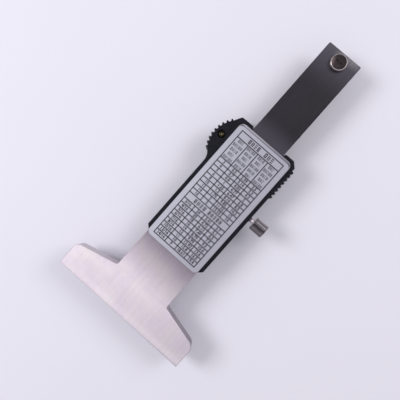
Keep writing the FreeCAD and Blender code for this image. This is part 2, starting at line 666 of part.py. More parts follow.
def make_set_screws():
    """Two slotted set screws in the rail, behind the gib."""
    screws = []
    for place in ("dims.set_screw_first", "dims.set_screw_second"):
        thread = doc.addObject("Part::Cylinder", "set_screw_thread")
        thread.Placement.Rotation = FreeCAD.Rotation(FreeCAD.Vector(1, 0, 0), 90)
        thread.setExpression("Radius", "dims.set_screw_radius")
        thread.setExpression("Height", "dims.set_screw_length")
        thread.setExpression("Placement.Base.x", place)
        thread.setExpression("Placement.Base.y", "-" + GIB_SIDE)
        slot = doc.addObject("Part::Box", "set_screw_slot")
        slot.setExpression("Length", "dims.set_slot_width")
        slot.setExpression("Width", "dims.set_slot_depth * 2")
        slot.setExpression("Height", "dims.set_screw_radius * 4")
        slot.setExpression("Placement.Base.x", place + " - dims.set_slot_width / 2")
        far = "-%s - dims.set_screw_length - dims.set_slot_depth" % GIB_SIDE
        slot.setExpression("Placement.Base.y", far)
        slot.setExpression("Placement.Base.z", "-dims.set_screw_radius * 2")
        screw = doc.addObject("Part::Cut", "set_screw")
        screw.Base = thread
        screw.Tool = slot
        screws.append(screw)
    group = doc.addObject("Part::Compound", "gib_set_screws")
    group.Links = screws
    keep(group, "gib_set_screws")


def polar_point(radius, angle):
    """A place given by its distance from the sketch's origin and its angle."""
    return "(%s) * cos(%s)" % (radius, angle), "(%s) * sin(%s)" % (radius, angle)


def grip_point(radius, angle):
    """A place on a circle about the grip's centre of curvature."""
    x, y = polar_point(radius, angle)
    return "(dims.grip_centre_along + %s)" % x, "(dims.grip_centre_out + %s)" % y


def draw_housing_outline(sketch):
    """The housing seen from the back, without grip and ribs."""
    half, near, far = HALF_HOUSING, "dims.near_chamfer", "dims.far_chamfer"
    start, end = "dims.housing_start", "dims.housing_end"
    lower = [
        (start, "-(%s - %s)" % (half, near)),
        ("%s + %s" % (start, near), "-" + half),
        ("%s - %s" % (end, far), "-" + half),
        (end, "-(%s - %s)" % (half, far)),
    ]
    upper = [(x, "-(%s)" % y) for x, y in reversed(lower)]
    closed_outline(sketch, lower + upper)


def draw_grip_outline(sketch):
    """The grip bulges out of the housing's +Y side: a hollow curve, an arc and a slope."""
    near = grip_point("dims.grip_radius", "dims.grip_near_angle")
    far = grip_point("dims.grip_radius", "dims.grip_far_angle")
    rise = "(%s - %s)" % (near[1], HALF_HOUSING)
    blend = "dims.grip_blend_radius"
    blend_start = "%s - sqrt(%s ^ 2 - (%s - %s) ^ 2)" % (near[0], blend, blend, rise)
    root = "%s - dims.far_chamfer - dims.grip_root" % HALF_HOUSING
    corners = [
        (blend_start, root),
        ("dims.housing_end", root),
        ("dims.housing_end", "%s - dims.grip_end_drop" % HALF_HOUSING),
        ("dims.housing_end - dims.grip_end_run", HALF_HOUSING),
        far,
        near,
        (blend_start, HALF_HOUSING),
    ]
    arcs = {
        2: ("dims.grip_end_radius", 1),
        4: ("dims.grip_radius", 1),
        5: (blend, -1),
    }
    closed_outline(sketch, corners, arcs)


def add_grip(body, low, high):
    """The toothed grip on one of the two mouldings, between two levels."""
    pad(body, draw_grip_outline, low, high)
    foot = "(dims.grip_radius - dims.grip_root)"
    tip = "(dims.grip_radius + dims.tooth_height)"
    tooth = []
    for radius, width in ((foot, "dims.tooth_foot_angle"), (tip, "dims.tooth_tip_angle")):
        sides = [
            polar_point(radius, "dims.tooth_first_angle %s %s / 2" % (sign, width))
            for sign in ("-", "+")
        ]
        tooth += sides if radius == foot else reversed(sides)
    centre = {"along": "dims.grip_centre_along", "across": "dims.grip_centre_out"}
    first = pad(body, lambda sketch: closed_outline(sketch, tooth), low, high, **centre)
    polar_pattern(body, first, "dims.tooth_span_angle", "dims.tooth_count", grows=True)


def add_ribs(body, low, high):
    """The row of ribs on the -Y side of one of the two mouldings."""
    foot = "-%s + dims.rib_root" % HALF_HOUSING
    tip = "-%s - dims.rib_height" % HALF_HOUSING
    rib = [
        ("dims.rib_first - dims.rib_foot / 2", foot),
        ("dims.rib_first - dims.rib_tip / 2", tip),
        ("dims.rib_first + dims.rib_tip / 2", tip),
        ("dims.rib_first + dims.rib_foot / 2", foot),
    ]
    first = pad(body, lambda sketch: closed_outline(sketch, rib), low, high)
    length = "dims.rib_pitch * (dims.rib_count - 1)"
    row_pattern(body, first, length, "dims.rib_count", grows=True)


# The housing body is a moulded frame that wraps the back plate. Its grip, ribs and lips
# show from the label side.
def make_housing_body():
    body = new_body("housing_body")
    pad(body, draw_housing_outline, PARTING, RIM)
    bevel_edges(body, level_edges(body.Shape, RIM), "dims.rim_edge")
    add_grip(body, PARTING, GRIP_BACK)
    add_ribs(body, PARTING, RIM + " - dims.rib_drop")

    inner_start = "dims.housing_start + dims.housing_wall"
    frame_stop = "dims.plate_end + dims.housing_gap"
    frame_room = rectangle(
        "dims.housing_start - " + PAST, frame_stop, "-" + POCKET_SIDE, POCKET_SIDE
    )
    pocket(body, frame_room, FRAME_FRONT + " - dims.running_gap", RIM + " + " + PAST)
    board_room = rectangle(inner_start, frame_stop, "-" + POCKET_SIDE, POCKET_SIDE)
    pocket(body, board_room, BOARD_FRONT, FRAME_FRONT)
    round_edges(
        body,
        upright_edges(body.Shape, mirrored_spots(frame_stop, POCKET_SIDE)),
        "dims.plate_end_radius + dims.housing_gap",
    )
    cavity = rectangle(
        inner_start, "dims.housing_end - dims.housing_wall", "-" + CAVITY_SIDE, CAVITY_SIDE
    )
    pocket(body, cavity, PARTING + " - " + PAST, BOARD_FRONT)
    screw_ears(body, EAR_FRONT, BOARD_FRONT)
    screw_hole = "dims.cover_screw_radius + dims.screw_gap"
    pocket(body, circles(cover_screw_spots(), screw_hole), EAR_FRONT, BOARD_FRONT)

    # The far end is open for the beam, between two lips.
    lip = "(%s + dims.lip_gap)" % HALF_BEAM
    notch = rectangle("dims.plate_end", "dims.housing_end + " + PAST, "-" + lip, lip)
    pocket(body, notch, BEAM_FRONT + " - dims.lip_gap", RIM + " + " + PAST)
    round_edges(
        body,
        upright_edges(body.Shape, mirrored_spots("dims.housing_end", lip)),
        "dims.lip_radius",
    )

    lock_hole = circles([("dims.lock_place", "0")], "dims.lock_hole_radius")
    pocket(body, lock_hole, HALF_NECK, HALF_HOUSING + " + " + PAST, "XZ_Plane")
    grip_spot = [("dims.grip_screw_along", "dims.grip_screw_out")]
    pocket(body, circles(grip_spot, "dims.grip_bore_radius"), GRIP_SEAT, RIM + " + " + PAST)
    pocket(body, circles(grip_spot, screw_hole), PARTING + " - " + PAST, GRIP_SEAT + " + " + PAST)


# The front moulding carries the display, the buttons and the battery. Its raised frame is
# what the gauge lies on.
def make_front_faceplate():
    body = new_body("front_faceplate")
    pad(body, draw_housing_outline, FRONT_FACE, PARTING)
    bevel_edges(body, level_edges(body.Shape, FRONT_FACE), "dims.front_edge")
    add_grip(body, GRIP_FRONT, PARTING)
    add_ribs(body, GRIP_FRONT, PARTING)
    bezel = rectangle(
        "dims.bezel_start", "dims.bezel_end", "-dims.bezel_width / 2", "dims.bezel_width / 2"
    )
    pad(body, bezel, BEZEL_FACE, FRONT_FACE)
    corners = []
    for x in ("dims.bezel_start", "dims.bezel_end"):
        corners += mirrored_spots(x, "dims.bezel_width / 2")
    round_edges(body, upright_edges(body.Shape, corners), "dims.bezel_radius")

    cavity = rectangle(
        "dims.housing_start + dims.housing_wall",
        "dims.housing_end - dims.housing_wall",
        "-" + CAVITY_SIDE,
        CAVITY_SIDE,
    )
    pocket(body, cavity, INNER_FACE, PARTING)
    screw_ears(body, INNER_FACE, EAR_FRONT)
    screw_hole = "dims.cover_screw_radius + dims.screw_gap"
    hole_floor = "%s - dims.screw_gap" % COVER_TIP
    pocket(body, circles(cover_screw_spots(), screw_hole), hole_floor, EAR_FRONT)
    grip_spot = [("dims.grip_screw_along", "dims.grip_screw_out")]
    pocket(body, circles(grip_spot, screw_hole), hole_floor, PARTING)

    window = {"x": "dims.window_along", "y": "dims.window_out"}
    size = {"length": "dims.window_length", "width": "dims.window_width"}
    seat = centred_rectangle(margin="dims.window_gap", **window, **size)
    opening = centred_rectangle(margin="-dims.window_ledge", **window, **size)
    below = BEZEL_FACE + " - " + PAST
    pocket(body, seat, below, WINDOW_BACK)
    pocket(body, opening, below, INNER_FACE + " + " + PAST)

    last_place = button_place(len(BUTTONS) - 1)
    row_length = "(%s - dims.button_first + dims.button_length)" % last_place
    row_middle = "(dims.button_first + %s) / 2" % last_place
    trough = centred_rectangle(
        row_middle, "-dims.button_out", row_length, "dims.button_width", "dims.trough_margin"
    )
    pocket(body, trough, below, FRONT_FACE)
    cap = {"length": "dims.button_length", "width": "dims.button_width"}
    for index, _ in enumerate(BUTTONS):
        place = button_place(index)
        hole = centred_rectangle(place, "-dims.button_out", margin="dims.button_gap", **cap)
        pocket(body, hole, below, INNER_FACE + " + " + PAST)

    # The battery bay: two walls for the cell, above the runners of the sliding door.
    room = "(dims.cell_radius + dims.bay_gap)"
    runner_side = "(dims.door_width / 2 + dims.door_flange + dims.door_gap)"
    for sign in ("", "-"):
        edges = [sign + room, "%s(%s + dims.bay_wall)" % (sign, room)]
        low, high = sorted(edges, key=number)
        wall_start = DOOR_START + " - dims.bay_lead"
        wall = rectangle(wall_start, "dims.housing_end - dims.housing_wall", low, high)
        pad(body, wall, INNER_FACE, INNER_FACE + " + dims.bay_height")
    outer_side = "(dims.door_width / 2 + dims.door_gap)"
    door_end = "dims.housing_end + " + PAST
    wide = rectangle(DOOR_START, door_end, "-" + runner_side, runner_side)
    pocket(body, wide, DOOR_STEP + " - dims.door_gap / 2", DOOR_BACK + " + dims.door_gap")
    narrow = rectangle(DOOR_START, door_end, "-" + outer_side, outer_side)
    pocket(body, narrow, below, DOOR_STEP)


# A flat rounded plate between two levels, for what is cut or pressed from sheet.
def make_plate(label, x_low, x_high, y_low, y_high, low, high, radius=None):
    body = new_body(label)
    pad(body, rectangle(x_low, x_high, y_low, y_high), low, high)
    if radius:
        spots = [(x, y) for x in (x_low, x_high) for y in (y_low, y_high)]
        round_edges(body, upright_edges(body.Shape, spots), radius)
    return body


def make_label():
    make_plate(
        "back_label",
        "dims.label_start",
        "dims.label_end",
        "-dims.label_width / 2",
        "dims.label_width / 2",
        FRAME_BACK,
        FRAME_BACK + " + dims.label_thickness",
        "dims.label_radius",
    )


def make_display():
    """The clear window, the display glass behind it and its two rubber connector strips."""
    middle_x, middle_y = "dims.window_along", "dims.window_out"
    half_x, half_y = "dims.window_length / 2", "dims.window_width / 2"
    make_plate(
        "display_window",
        "%s - %s" % (middle_x, half_x),
        "%s + %s" % (middle_x, half_x),
        "%s - %s" % (middle_y, half_y),
        "%s + %s" % (middle_y, half_y),
        WINDOW_FRONT,
        WINDOW_BACK,
        "dims.window_radius",
    )
    half_x, half_y = "dims.glass_length / 2", "dims.glass_width / 2"
    make_plate(
        "display_glass",
        "%s - %s" % (middle_x, half_x),
        "%s + %s" % (middle_x, half_x),
        "%s - %s" % (middle_y, half_y),
        "%s + %s" % (middle_y, half_y),
        INNER_FACE,
        GLASS_BACK,
    )
    strips = []
    for side in ("-(%s)" % half_y, "%s - dims.strip_width" % half_y):
        strip = doc.addObject("Part::Box", "connector_strip")
        strip.setExpression("Length", "dims.strip_length")
        strip.setExpression("Width", "dims.strip_width")
        strip.setExpression("Height", "%s - %s" % (BOARD_FRONT, GLASS_BACK))
        strip.setExpression("Placement.Base.x", "%s - dims.strip_length / 2" % middle_x)
        strip.setExpression("Placement.Base.y", "%s + %s" % (middle_y, side))
        strip.setExpression("Placement.Base.z", GLASS_BACK)
        strips.append(strip)
    group = doc.addObject("Part::Compound", "connector_strips")
    group.Links = strips
    keep(group, "connector_strips")


def make_circuit_board():
    """The board is notched at its corners for the cover screws and lies on their ears."""
    side = "(%s - dims.board_gap)" % POCKET_SIDE
    notch = "(dims.cover_screw_radius + dims.board_gap)"
    inner = "(dims.cover_screw_out - %s)" % notch
    near = "dims.cover_screw_near + " + notch
    far = "dims.cover_screw_far - " + notch
    right = [
        ("dims.housing_start + dims.housing_wall + dims.board_gap", "-" + inner),
        (near, "-" + inner),
        (near, "-" + side),
        (far, "-" + side),
        (far, "-" + inner),
        ("dims.plate_end + dims.housing_gap - dims.board_gap", "-" + inner),
    ]
    left = [(x, y[1:]) for x, y in reversed(right)]
    body = new_body("circuit_board")
    pad(body, lambda sketch: closed_outline(sketch, right + left), BOARD_FRONT, FRAME_FRONT)

    half_chip = "dims.chip_size / 2"
    make_plate(
        "driver_chip",
        "dims.window_along - " + half_chip,
        "dims.window_along + " + half_chip,
        "dims.window_out - " + half_chip,
        "dims.window_out + " + half_chip,
        BOARD_FRONT + " - dims.chip_height",
        BOARD_FRONT,
    )
    domes = []
    for index, _ in enumerate(BUTTONS):
        dome = doc.addObject("Part::Cylinder", "switch_dome")
        dome.setExpression("Radius", "dims.dome_radius")
        dome.setExpression("Height", "dims.dome_height")
        dome.setExpression("Placement.Base.x", button_place(index))
        dome.setExpression("Placement.Base.y", "-dims.button_out")
        dome.setExpression("Placement.Base.z", BOARD_FRONT + " - dims.dome_height")
        domes.append(dome)
    group = doc.addObject("Part::Compound", "switch_domes")
    group.Links = domes
    keep(group, "switch_domes")


def make_buttons():
    """Three moulded buttons, each with a flange that keeps it in and a stem for its dome."""
    flange_front = "(%s + dims.button_flange_gap)" % INNER_FACE
    flange_back = "(%s + dims.button_flange_thickness)" % flange_front
    dome_top = "(%s - dims.dome_height)" % BOARD_FRONT
    stem_end = "(%s - dims.button_travel - dims.dome_gap)" % dome_top
    size = {"length": "dims.button_length", "width": "dims.button_width"}
    for index, label in enumerate(BUTTONS):
        place = button_place(index)
        body = new_body(label)
        cap = centred_rectangle(place, "-dims.button_out", **size)
        pad(body, cap, FRONT_FACE + " - dims.button_proud", flange_back)
        spots = []
        for x in ("%s - dims.button_length / 2" % place, "%s + dims.button_length / 2" % place):
            for y in ("-dims.button_width / 2", "dims.button_width / 2"):
                spots.append((x, "%s - dims.button_out" % y))
        round_edges(body, upright_edges(body.Shape, spots), "dims.button_radius")
        flange = centred_rectangle(
            place, "-dims.button_out", margin="dims.button_flange", **size
        )
        pad(body, flange, flange_front, flange_back)
        stem = circles([(place, "-dims.button_out")], "dims.button_stem_radius")
        pad(body, stem, flange_back, stem_end)


def make_battery():
    body = new_body("battery_cell")
    centre = [("dims.cell_along", "0")]
    can_back = "%s - dims.cell_cap_height" % CELL_BACK
    pad(body, circles(centre, "dims.cell_radius"), CELL_FRONT, can_back)
    bevel_edges(body, level_edges(body.Shape, CELL_FRONT), "dims.cell_edge")
    pad(body, circles(centre, "dims.cell_cap_radius"), can_back, CELL_BACK)

    # The minus contact is a leaf between the board and the cell's cap.
    leaf = new_body("minus_contact")
    board, thick = BOARD_FRONT, "dims.contact_thickness"
    touch = "%s + dims.contact_gap" % CELL_BACK
    foot = "dims.cell_along - dims.contact_foot"
    bend, far = "dims.cell_along", "dims.cell_along + dims.contact_foot"
    corners = [
        (foot, "%s - %s" % (board, thick)),
        (bend, "%s - %s" % (board, thick)),
        ("%s + dims.contact_foot / 2" % bend, touch),
        (far, touch),
        (far, "%s + %s" % (touch, thick)),
        ("%s + dims.contact_foot / 2" % bend, "%s + %s" % (touch, thick)),
        (bend, board),
        (foot, board),
    ]
    half = "dims.contact_width / 2"
    draw = lambda sketch: closed_outline(sketch, corners)
    pad(leaf, draw, "-" + half, half, "XZ_Plane")

    # The plus contact stands on the board beside the cell's can.
    blade = new_body("plus_contact")
    side = "(dims.cell_along - dims.cell_radius - dims.contact_gap)"
    end = "%s - dims.contact_reach" % board
    corners = [
        ("%s - dims.contact_foot" % side, "%s - %s" % (board, thick)),
        ("%s - %s" % (side, thick), "%s - %s" % (board, thick)),
        ("%s - %s" % (side, thick), end),
        (side, end),
        (side, board),
        ("%s - dims.contact_foot" % side, board),
    ]
    stand = lambda sketch: closed_outline(sketch, corners)
    pad(blade, stand, "-" + half, half, "XZ_Plane")


def make_battery_door():
    """The door slides out along the beam, on runners inside the front moulding."""
    body = new_body("battery_door")
    start = "%s + dims.door_gap" % DOOR_START
    end = "dims.housing_end - dims.door_gap"
    half = "dims.door_width / 2"
    pad(body, rectangle(start, end, "-" + half, half), FRONT_FACE, DOOR_STEP)
    runner = "(dims.door_width / 2 + dims.door_flange)"
    pad(body, rectangle(start, end, "-" + runner, runner), DOOR_STEP, DOOR_BACK)
    ridge = rectangle(
        "dims.cell_along",
        "dims.cell_along + dims.door_ridge_width",
        "-dims.door_ridge_length / 2",
        "dims.door_ridge_length / 2",
    )
    first = pad(body, ridge, FRONT_FACE + " - dims.door_ridge", FRONT_FACE)
    length = "dims.door_ridge_pitch * (dims.door_ridge_count - 1)"
    row_pattern(body, first, length, "dims.door_ridge_count", grows=True)


def cross_screw(x, y, seat, tip, head_radius):
    """A small screw along Z, with its head seated at one level and its tip at another."""
    head = doc.addObject("Part::Cylinder", "screw_head")
    head.setExpression("Radius", head_radius)
    head.setExpression("Height", "dims.cover_head_height")
    head.setExpression("Placement.Base.z", seat)
    shank = doc.addObject("Part::Cylinder", "screw_shank")
    shank.setExpression("Radius", "dims.cover_screw_radius")
    shank.setExpression("Height", "%s - %s" % (seat, tip))
    shank.setExpression("Placement.Base.z", tip)
    for piece in (head, shank):
        piece.setExpression("Placement.Base.x", x)
        piece.setExpression("Placement.Base.y", y)
    blank = doc.addObject("Part::Fuse", "screw_blank")
    blank.Base = head
    blank.Tool = shank
    floor = "%s + dims.cover_head_height - dims.small_cross_depth" % seat
    arms = []
    for length, width in (
        ("dims.small_cross_length", "dims.small_cross_width"),
        ("dims.small_cross_width", "dims.small_cross_length"),
    ):
        arm = doc.addObject("Part::Box", "screw_recess")
        arm.setExpression("Length", length)
        arm.setExpression("Width", width)
        arm.setExpression("Height", "dims.small_cross_depth * 2")
        arm.setExpression("Placement.Base.x", "%s - %s / 2" % (x, length))
        arm.setExpression("Placement.Base.y", "%s - %s / 2" % (y, width))
        arm.setExpression("Placement.Base.z", floor)
        arms.append(arm)
    recess = doc.addObject("Part::MultiFuse", "screw_recess_pair")
    recess.Shapes = arms
    screw = doc.addObject("Part::Cut", "small_screw")
    screw.Base = blank
    screw.Tool = recess
    return screw


def make_small_screws():
    screws = []
    for x, y in cover_screw_spots():
        screws.append(cross_screw(x, y, COVER_SEAT, COVER_TIP, "dims.cover_head_radius"))
    group = doc.addObject("Part::Compound", "cover_screws")
    group.Links = screws
    keep(group, "cover_screws")
    x, y = "dims.grip_screw_along", "dims.grip_screw_out"
    keep(cross_screw(x, y, GRIP_SEAT, COVER_TIP, "dims.grip_head_radius"), "grip_screw")


make_slider_frame()
make_beam()
make_stop_screw()
make_lock_screw()
make_gib()
make_set_screws()
make_housing_body()
make_front_faceplate()
make_label()
make_display()
make_circuit_board()
make_buttons()
make_battery()
make_battery_door()
make_small_screws()
doc.recompute()

for thing in doc.Objects:
    if "Invalid" in thing.State or "Error" in thing.State:
        raise RuntimeError("%s could not be worked out" % thing.Label)
for thing in subparts:
    if thing.Shape.isNull() or not thing.Shape.isValid():
        raise RuntimeError("%s has no valid shape" % thing.Label)

os.makedirs("parts", exist_ok=True)
for thing in subparts:
    thing.Shape.exportStep("parts/%s.step" % thing.Label)
    print("%-18s solids %d  volume %9.3f" % (thing.Label, len(thing.Shape.Solids), thing.Shape.Volume))
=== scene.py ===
import json
import math

import bmesh
import bpy
from mathutils import Matrix, Vector


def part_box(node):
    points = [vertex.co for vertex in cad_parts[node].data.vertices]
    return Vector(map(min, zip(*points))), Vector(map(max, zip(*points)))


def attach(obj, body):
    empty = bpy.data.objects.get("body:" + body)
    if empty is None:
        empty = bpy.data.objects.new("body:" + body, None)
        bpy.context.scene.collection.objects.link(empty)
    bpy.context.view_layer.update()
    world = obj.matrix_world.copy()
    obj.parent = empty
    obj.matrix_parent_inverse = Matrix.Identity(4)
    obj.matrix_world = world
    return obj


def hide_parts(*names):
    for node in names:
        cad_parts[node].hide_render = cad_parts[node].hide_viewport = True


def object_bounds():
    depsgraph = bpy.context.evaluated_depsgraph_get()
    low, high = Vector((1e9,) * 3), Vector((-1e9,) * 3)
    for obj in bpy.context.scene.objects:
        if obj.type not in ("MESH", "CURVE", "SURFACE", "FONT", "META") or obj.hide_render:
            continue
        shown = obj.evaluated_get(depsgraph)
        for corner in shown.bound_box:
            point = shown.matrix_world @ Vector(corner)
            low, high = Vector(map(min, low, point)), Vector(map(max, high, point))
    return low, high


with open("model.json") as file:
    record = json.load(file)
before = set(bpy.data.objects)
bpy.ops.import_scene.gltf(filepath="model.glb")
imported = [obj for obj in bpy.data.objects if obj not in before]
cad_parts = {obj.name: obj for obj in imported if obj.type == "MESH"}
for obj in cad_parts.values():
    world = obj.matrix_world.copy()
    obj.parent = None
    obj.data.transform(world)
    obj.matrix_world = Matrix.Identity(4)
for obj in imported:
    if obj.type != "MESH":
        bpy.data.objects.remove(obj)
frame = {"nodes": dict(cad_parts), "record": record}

bl_info = {
    "name": "Pit depth gauge",
    "version": (1, 0, 0),
    "blender": (4, 5, 0),
    "location": "3D View > Sidebar > Gauge",
    "description": "Dresses the packed depth gauge and sets its stage",
    "category": "Object",
}

# The frame is in metres. MM turns a size that is written in millimetres.
MM = 0.001
INCH = 25.4
CAD_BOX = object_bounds()
# All print is a thin closed mesh, and half of its depth is sunk in what carries it.
INK_DEPTH = 0.012 * MM
BODY_OF = {
    node: body
    for body, nodes in frame["record"]["behaviour"]["bodies"].items()
    for node in nodes
}


def srgb(red, green, blue):
    """A colour as a picture shows it, from 0 to 255, turned to the renderer's linear one."""
    steps = (c / 255 for c in (red, green, blue))
    return tuple(c / 12.92 if c <= 0.04045 else ((c + 0.055) / 1.055) ** 2.4 for c in steps)


def colour_property(name, description, default):
    return bpy.props.FloatVectorProperty(
        name=name, description=description, subtype="COLOR", size=3, min=0, max=1, default=default
    )


def share_property(name, description, default):
    return bpy.props.FloatProperty(
        name=name, description=description, subtype="FACTOR", min=0, max=1, default=default
    )


def measure_property(name, description, default, unit="LENGTH"):
    return bpy.props.FloatProperty(name=name, description=description, unit=unit, default=default)


class GaugeStageSettings(bpy.types.PropertyGroup):
    """The camera, the floor and the light."""

    camera_place: bpy.props.FloatVectorProperty(
        name="Camera place",
        description="Where the camera stands in the frame",
        subtype="XYZ",
        unit="LENGTH",
        default=(0.05953, -0.00302, 0.17273),
    )
    camera_aim: bpy.props.FloatVectorProperty(
        name="Camera aim",
        description="The point that the camera looks at",
        subtype="XYZ",
        unit="LENGTH",
        default=(0.05565, 0.00535, 0.0),
    )
    camera_up: bpy.props.FloatProperty(
        name="Camera up",
        description="Direction of the picture's upper edge, turned from +X towards +Y",
        subtype="ANGLE",
        default=math.radians(41.4),
    )
    camera_lens: bpy.props.FloatProperty(
        name="Lens", description="Focal length in millimetres on a 36 mm sensor", default=38.7
    )
    floor_colour: colour_property("Floor", "Colour of the floor", srgb(231, 228, 241))
    fill: share_property("Fill", "Strength of the even light from all round", 0.5)
    left_power: measure_property("Left lamp", "Power of the left lamp", 1.81, "POWER")
    right_power: measure_property("Right lamp", "Power of the right lamp", 0.94, "POWER")
    lamp_size: measure_property("Lamp size", "Side of each square lamp", 0.26)


class GaugeSteelSettings(bpy.types.PropertyGroup):
    """The steel of the frame, the beam and the screws, and the light and shade painted on them."""

    base_colour: colour_property("Base", "Ground steel of the T-shaped base", srgb(217, 208, 212))
    # Painted shade: the base's steel darker towards -Y.
    base_far_colour: colour_property("Base's far end", "The same steel at -Y", srgb(207, 199, 203))
    # Painted highlight: a paler band on the base beside the measuring face.
    glow_colour: colour_property("Base's band", "Beside the measuring face", srgb(230, 222, 226))
    # Painted shade: the steel darker along the neck towards the label.
    neck_colour: colour_property("Neck", "The same steel beside the label", srgb(140, 133, 139))
    # Painted shade on the upright faces and along the measuring face's edge, deeper towards -Y.
    wall_colour: colour_property("Walls", "Upright faces of the same steel", srgb(198, 191, 196))
    wall_far_colour: colour_property("Walls' far end", "The same faces at -Y", srgb(158, 151, 158))
    # Painted shade: the plate past the label darker than the base, and darker still towards -Y.
    plate_colour: colour_property("Plate end", "The plate past the label", srgb(169, 167, 174))
    plate_far_colour: colour_property("Plate's far side", "The same at -Y", srgb(128, 126, 134))
    # Painted shadow: a dark line that the label's end casts on the plate.
    seam_colour: colour_property("Seam", "Dark line along the label's end", srgb(92, 90, 99))
    beam_colour: colour_property("Beam", "Dark ground steel of the beam", srgb(52, 50, 53))
    # Painted reflection: the beam lighter near both ends and towards +Y.
    beam_end_colour: colour_property("Beam ends", "The beam near its ends", srgb(81, 79, 85))
    beam_tip_colour: colour_property("Beam tip", "Worn end of the beam", srgb(120, 116, 118))
    # Painted light on the lock screw: highlights on the crests of its flutes, and painted shade
    # between them.
    screw_colour: colour_property("Lock screw", "Crests of its flutes", srgb(206, 197, 200))
    groove_colour: colour_property("Lock screw flutes", "Between the crests", srgb(44, 41, 46))
    ring_colour: colour_property("Stop screw ring", "Domed edge", srgb(172, 163, 160))
    # Painted reflection: the flat top painted dark against the pale domed edge.
    flat_colour: colour_property("Stop screw top", "Flat top", srgb(60, 53, 53))
    brass_colour: colour_property("Grip screw", "Brass-tinted steel", srgb(56, 52, 38))
    # Painted highlight: a bright spot on the floor of the recess.
    spot_colour: colour_property("Grip screw recess", "Bright floor of it", srgb(150, 140, 104))
    edge_width: measure_property("Edge", "Softening of the steel edges", 0.12 * MM)


class GaugePlasticSettings(bpy.types.PropertyGroup):
    """The mouldings and the buttons."""

    colour: colour_property("Plastic", "Black moulded plastic", srgb(17, 17, 25))
    button_colour: colour_property("Buttons", "Grey of the buttons", srgb(150, 152, 156))
    roughness: share_property("Roughness", "Roughness of the grained plastic", 0.46)
    edge_width: measure_property("Edge", "Softening of the moulded edges", 0.2 * MM)


class GaugeLabelSettings(bpy.types.PropertyGroup):
    """The back label and its print."""

    colour: colour_property("Label", "Pale foil of the label", srgb(185, 185, 197))
    # Painted shade: the foil darker towards -Y.
    far_colour: colour_property("Label's far side", "The same foil at -Y", srgb(164, 162, 174))
    ink_colour: colour_property("Ink", "Print on the label", srgb(12, 13, 26))
    line_width: measure_property("Line", "Width of a table line", 0.42 * MM)
    figure_height: measure_property("Figures", "Size of the figures", 1.75 * MM)
    figure_weight: measure_property("Weight", "Thickening of the figures", 0.07 * MM)


class Number:
    """A value in a node tree. Python's operators on it add Math nodes."""

    def __init__(self, surface, socket):
        self.surface = surface
        self.socket = socket

    def with_(self, operation, *others):
        return self.surface.math(operation, self, *others)

    def __add__(self, other):
        return self.with_("ADD", other)

    def __radd__(self, other):
        return self.surface.math("ADD", other, self)

    def __sub__(self, other):
        return self.with_("SUBTRACT", other)

    def __rsub__(self, other):
        return self.surface.math("SUBTRACT", other, self)

    def __mul__(self, other):
        return self.with_("MULTIPLY", other)

    def __rmul__(self, other):
        return self.surface.math("MULTIPLY", other, self)

    def __truediv__(self, other):
        return self.with_("DIVIDE", other)

    def __rtruediv__(self, other):
        return self.surface.math("DIVIDE", other, self)

    def __abs__(self):
        return self.with_("ABSOLUTE")


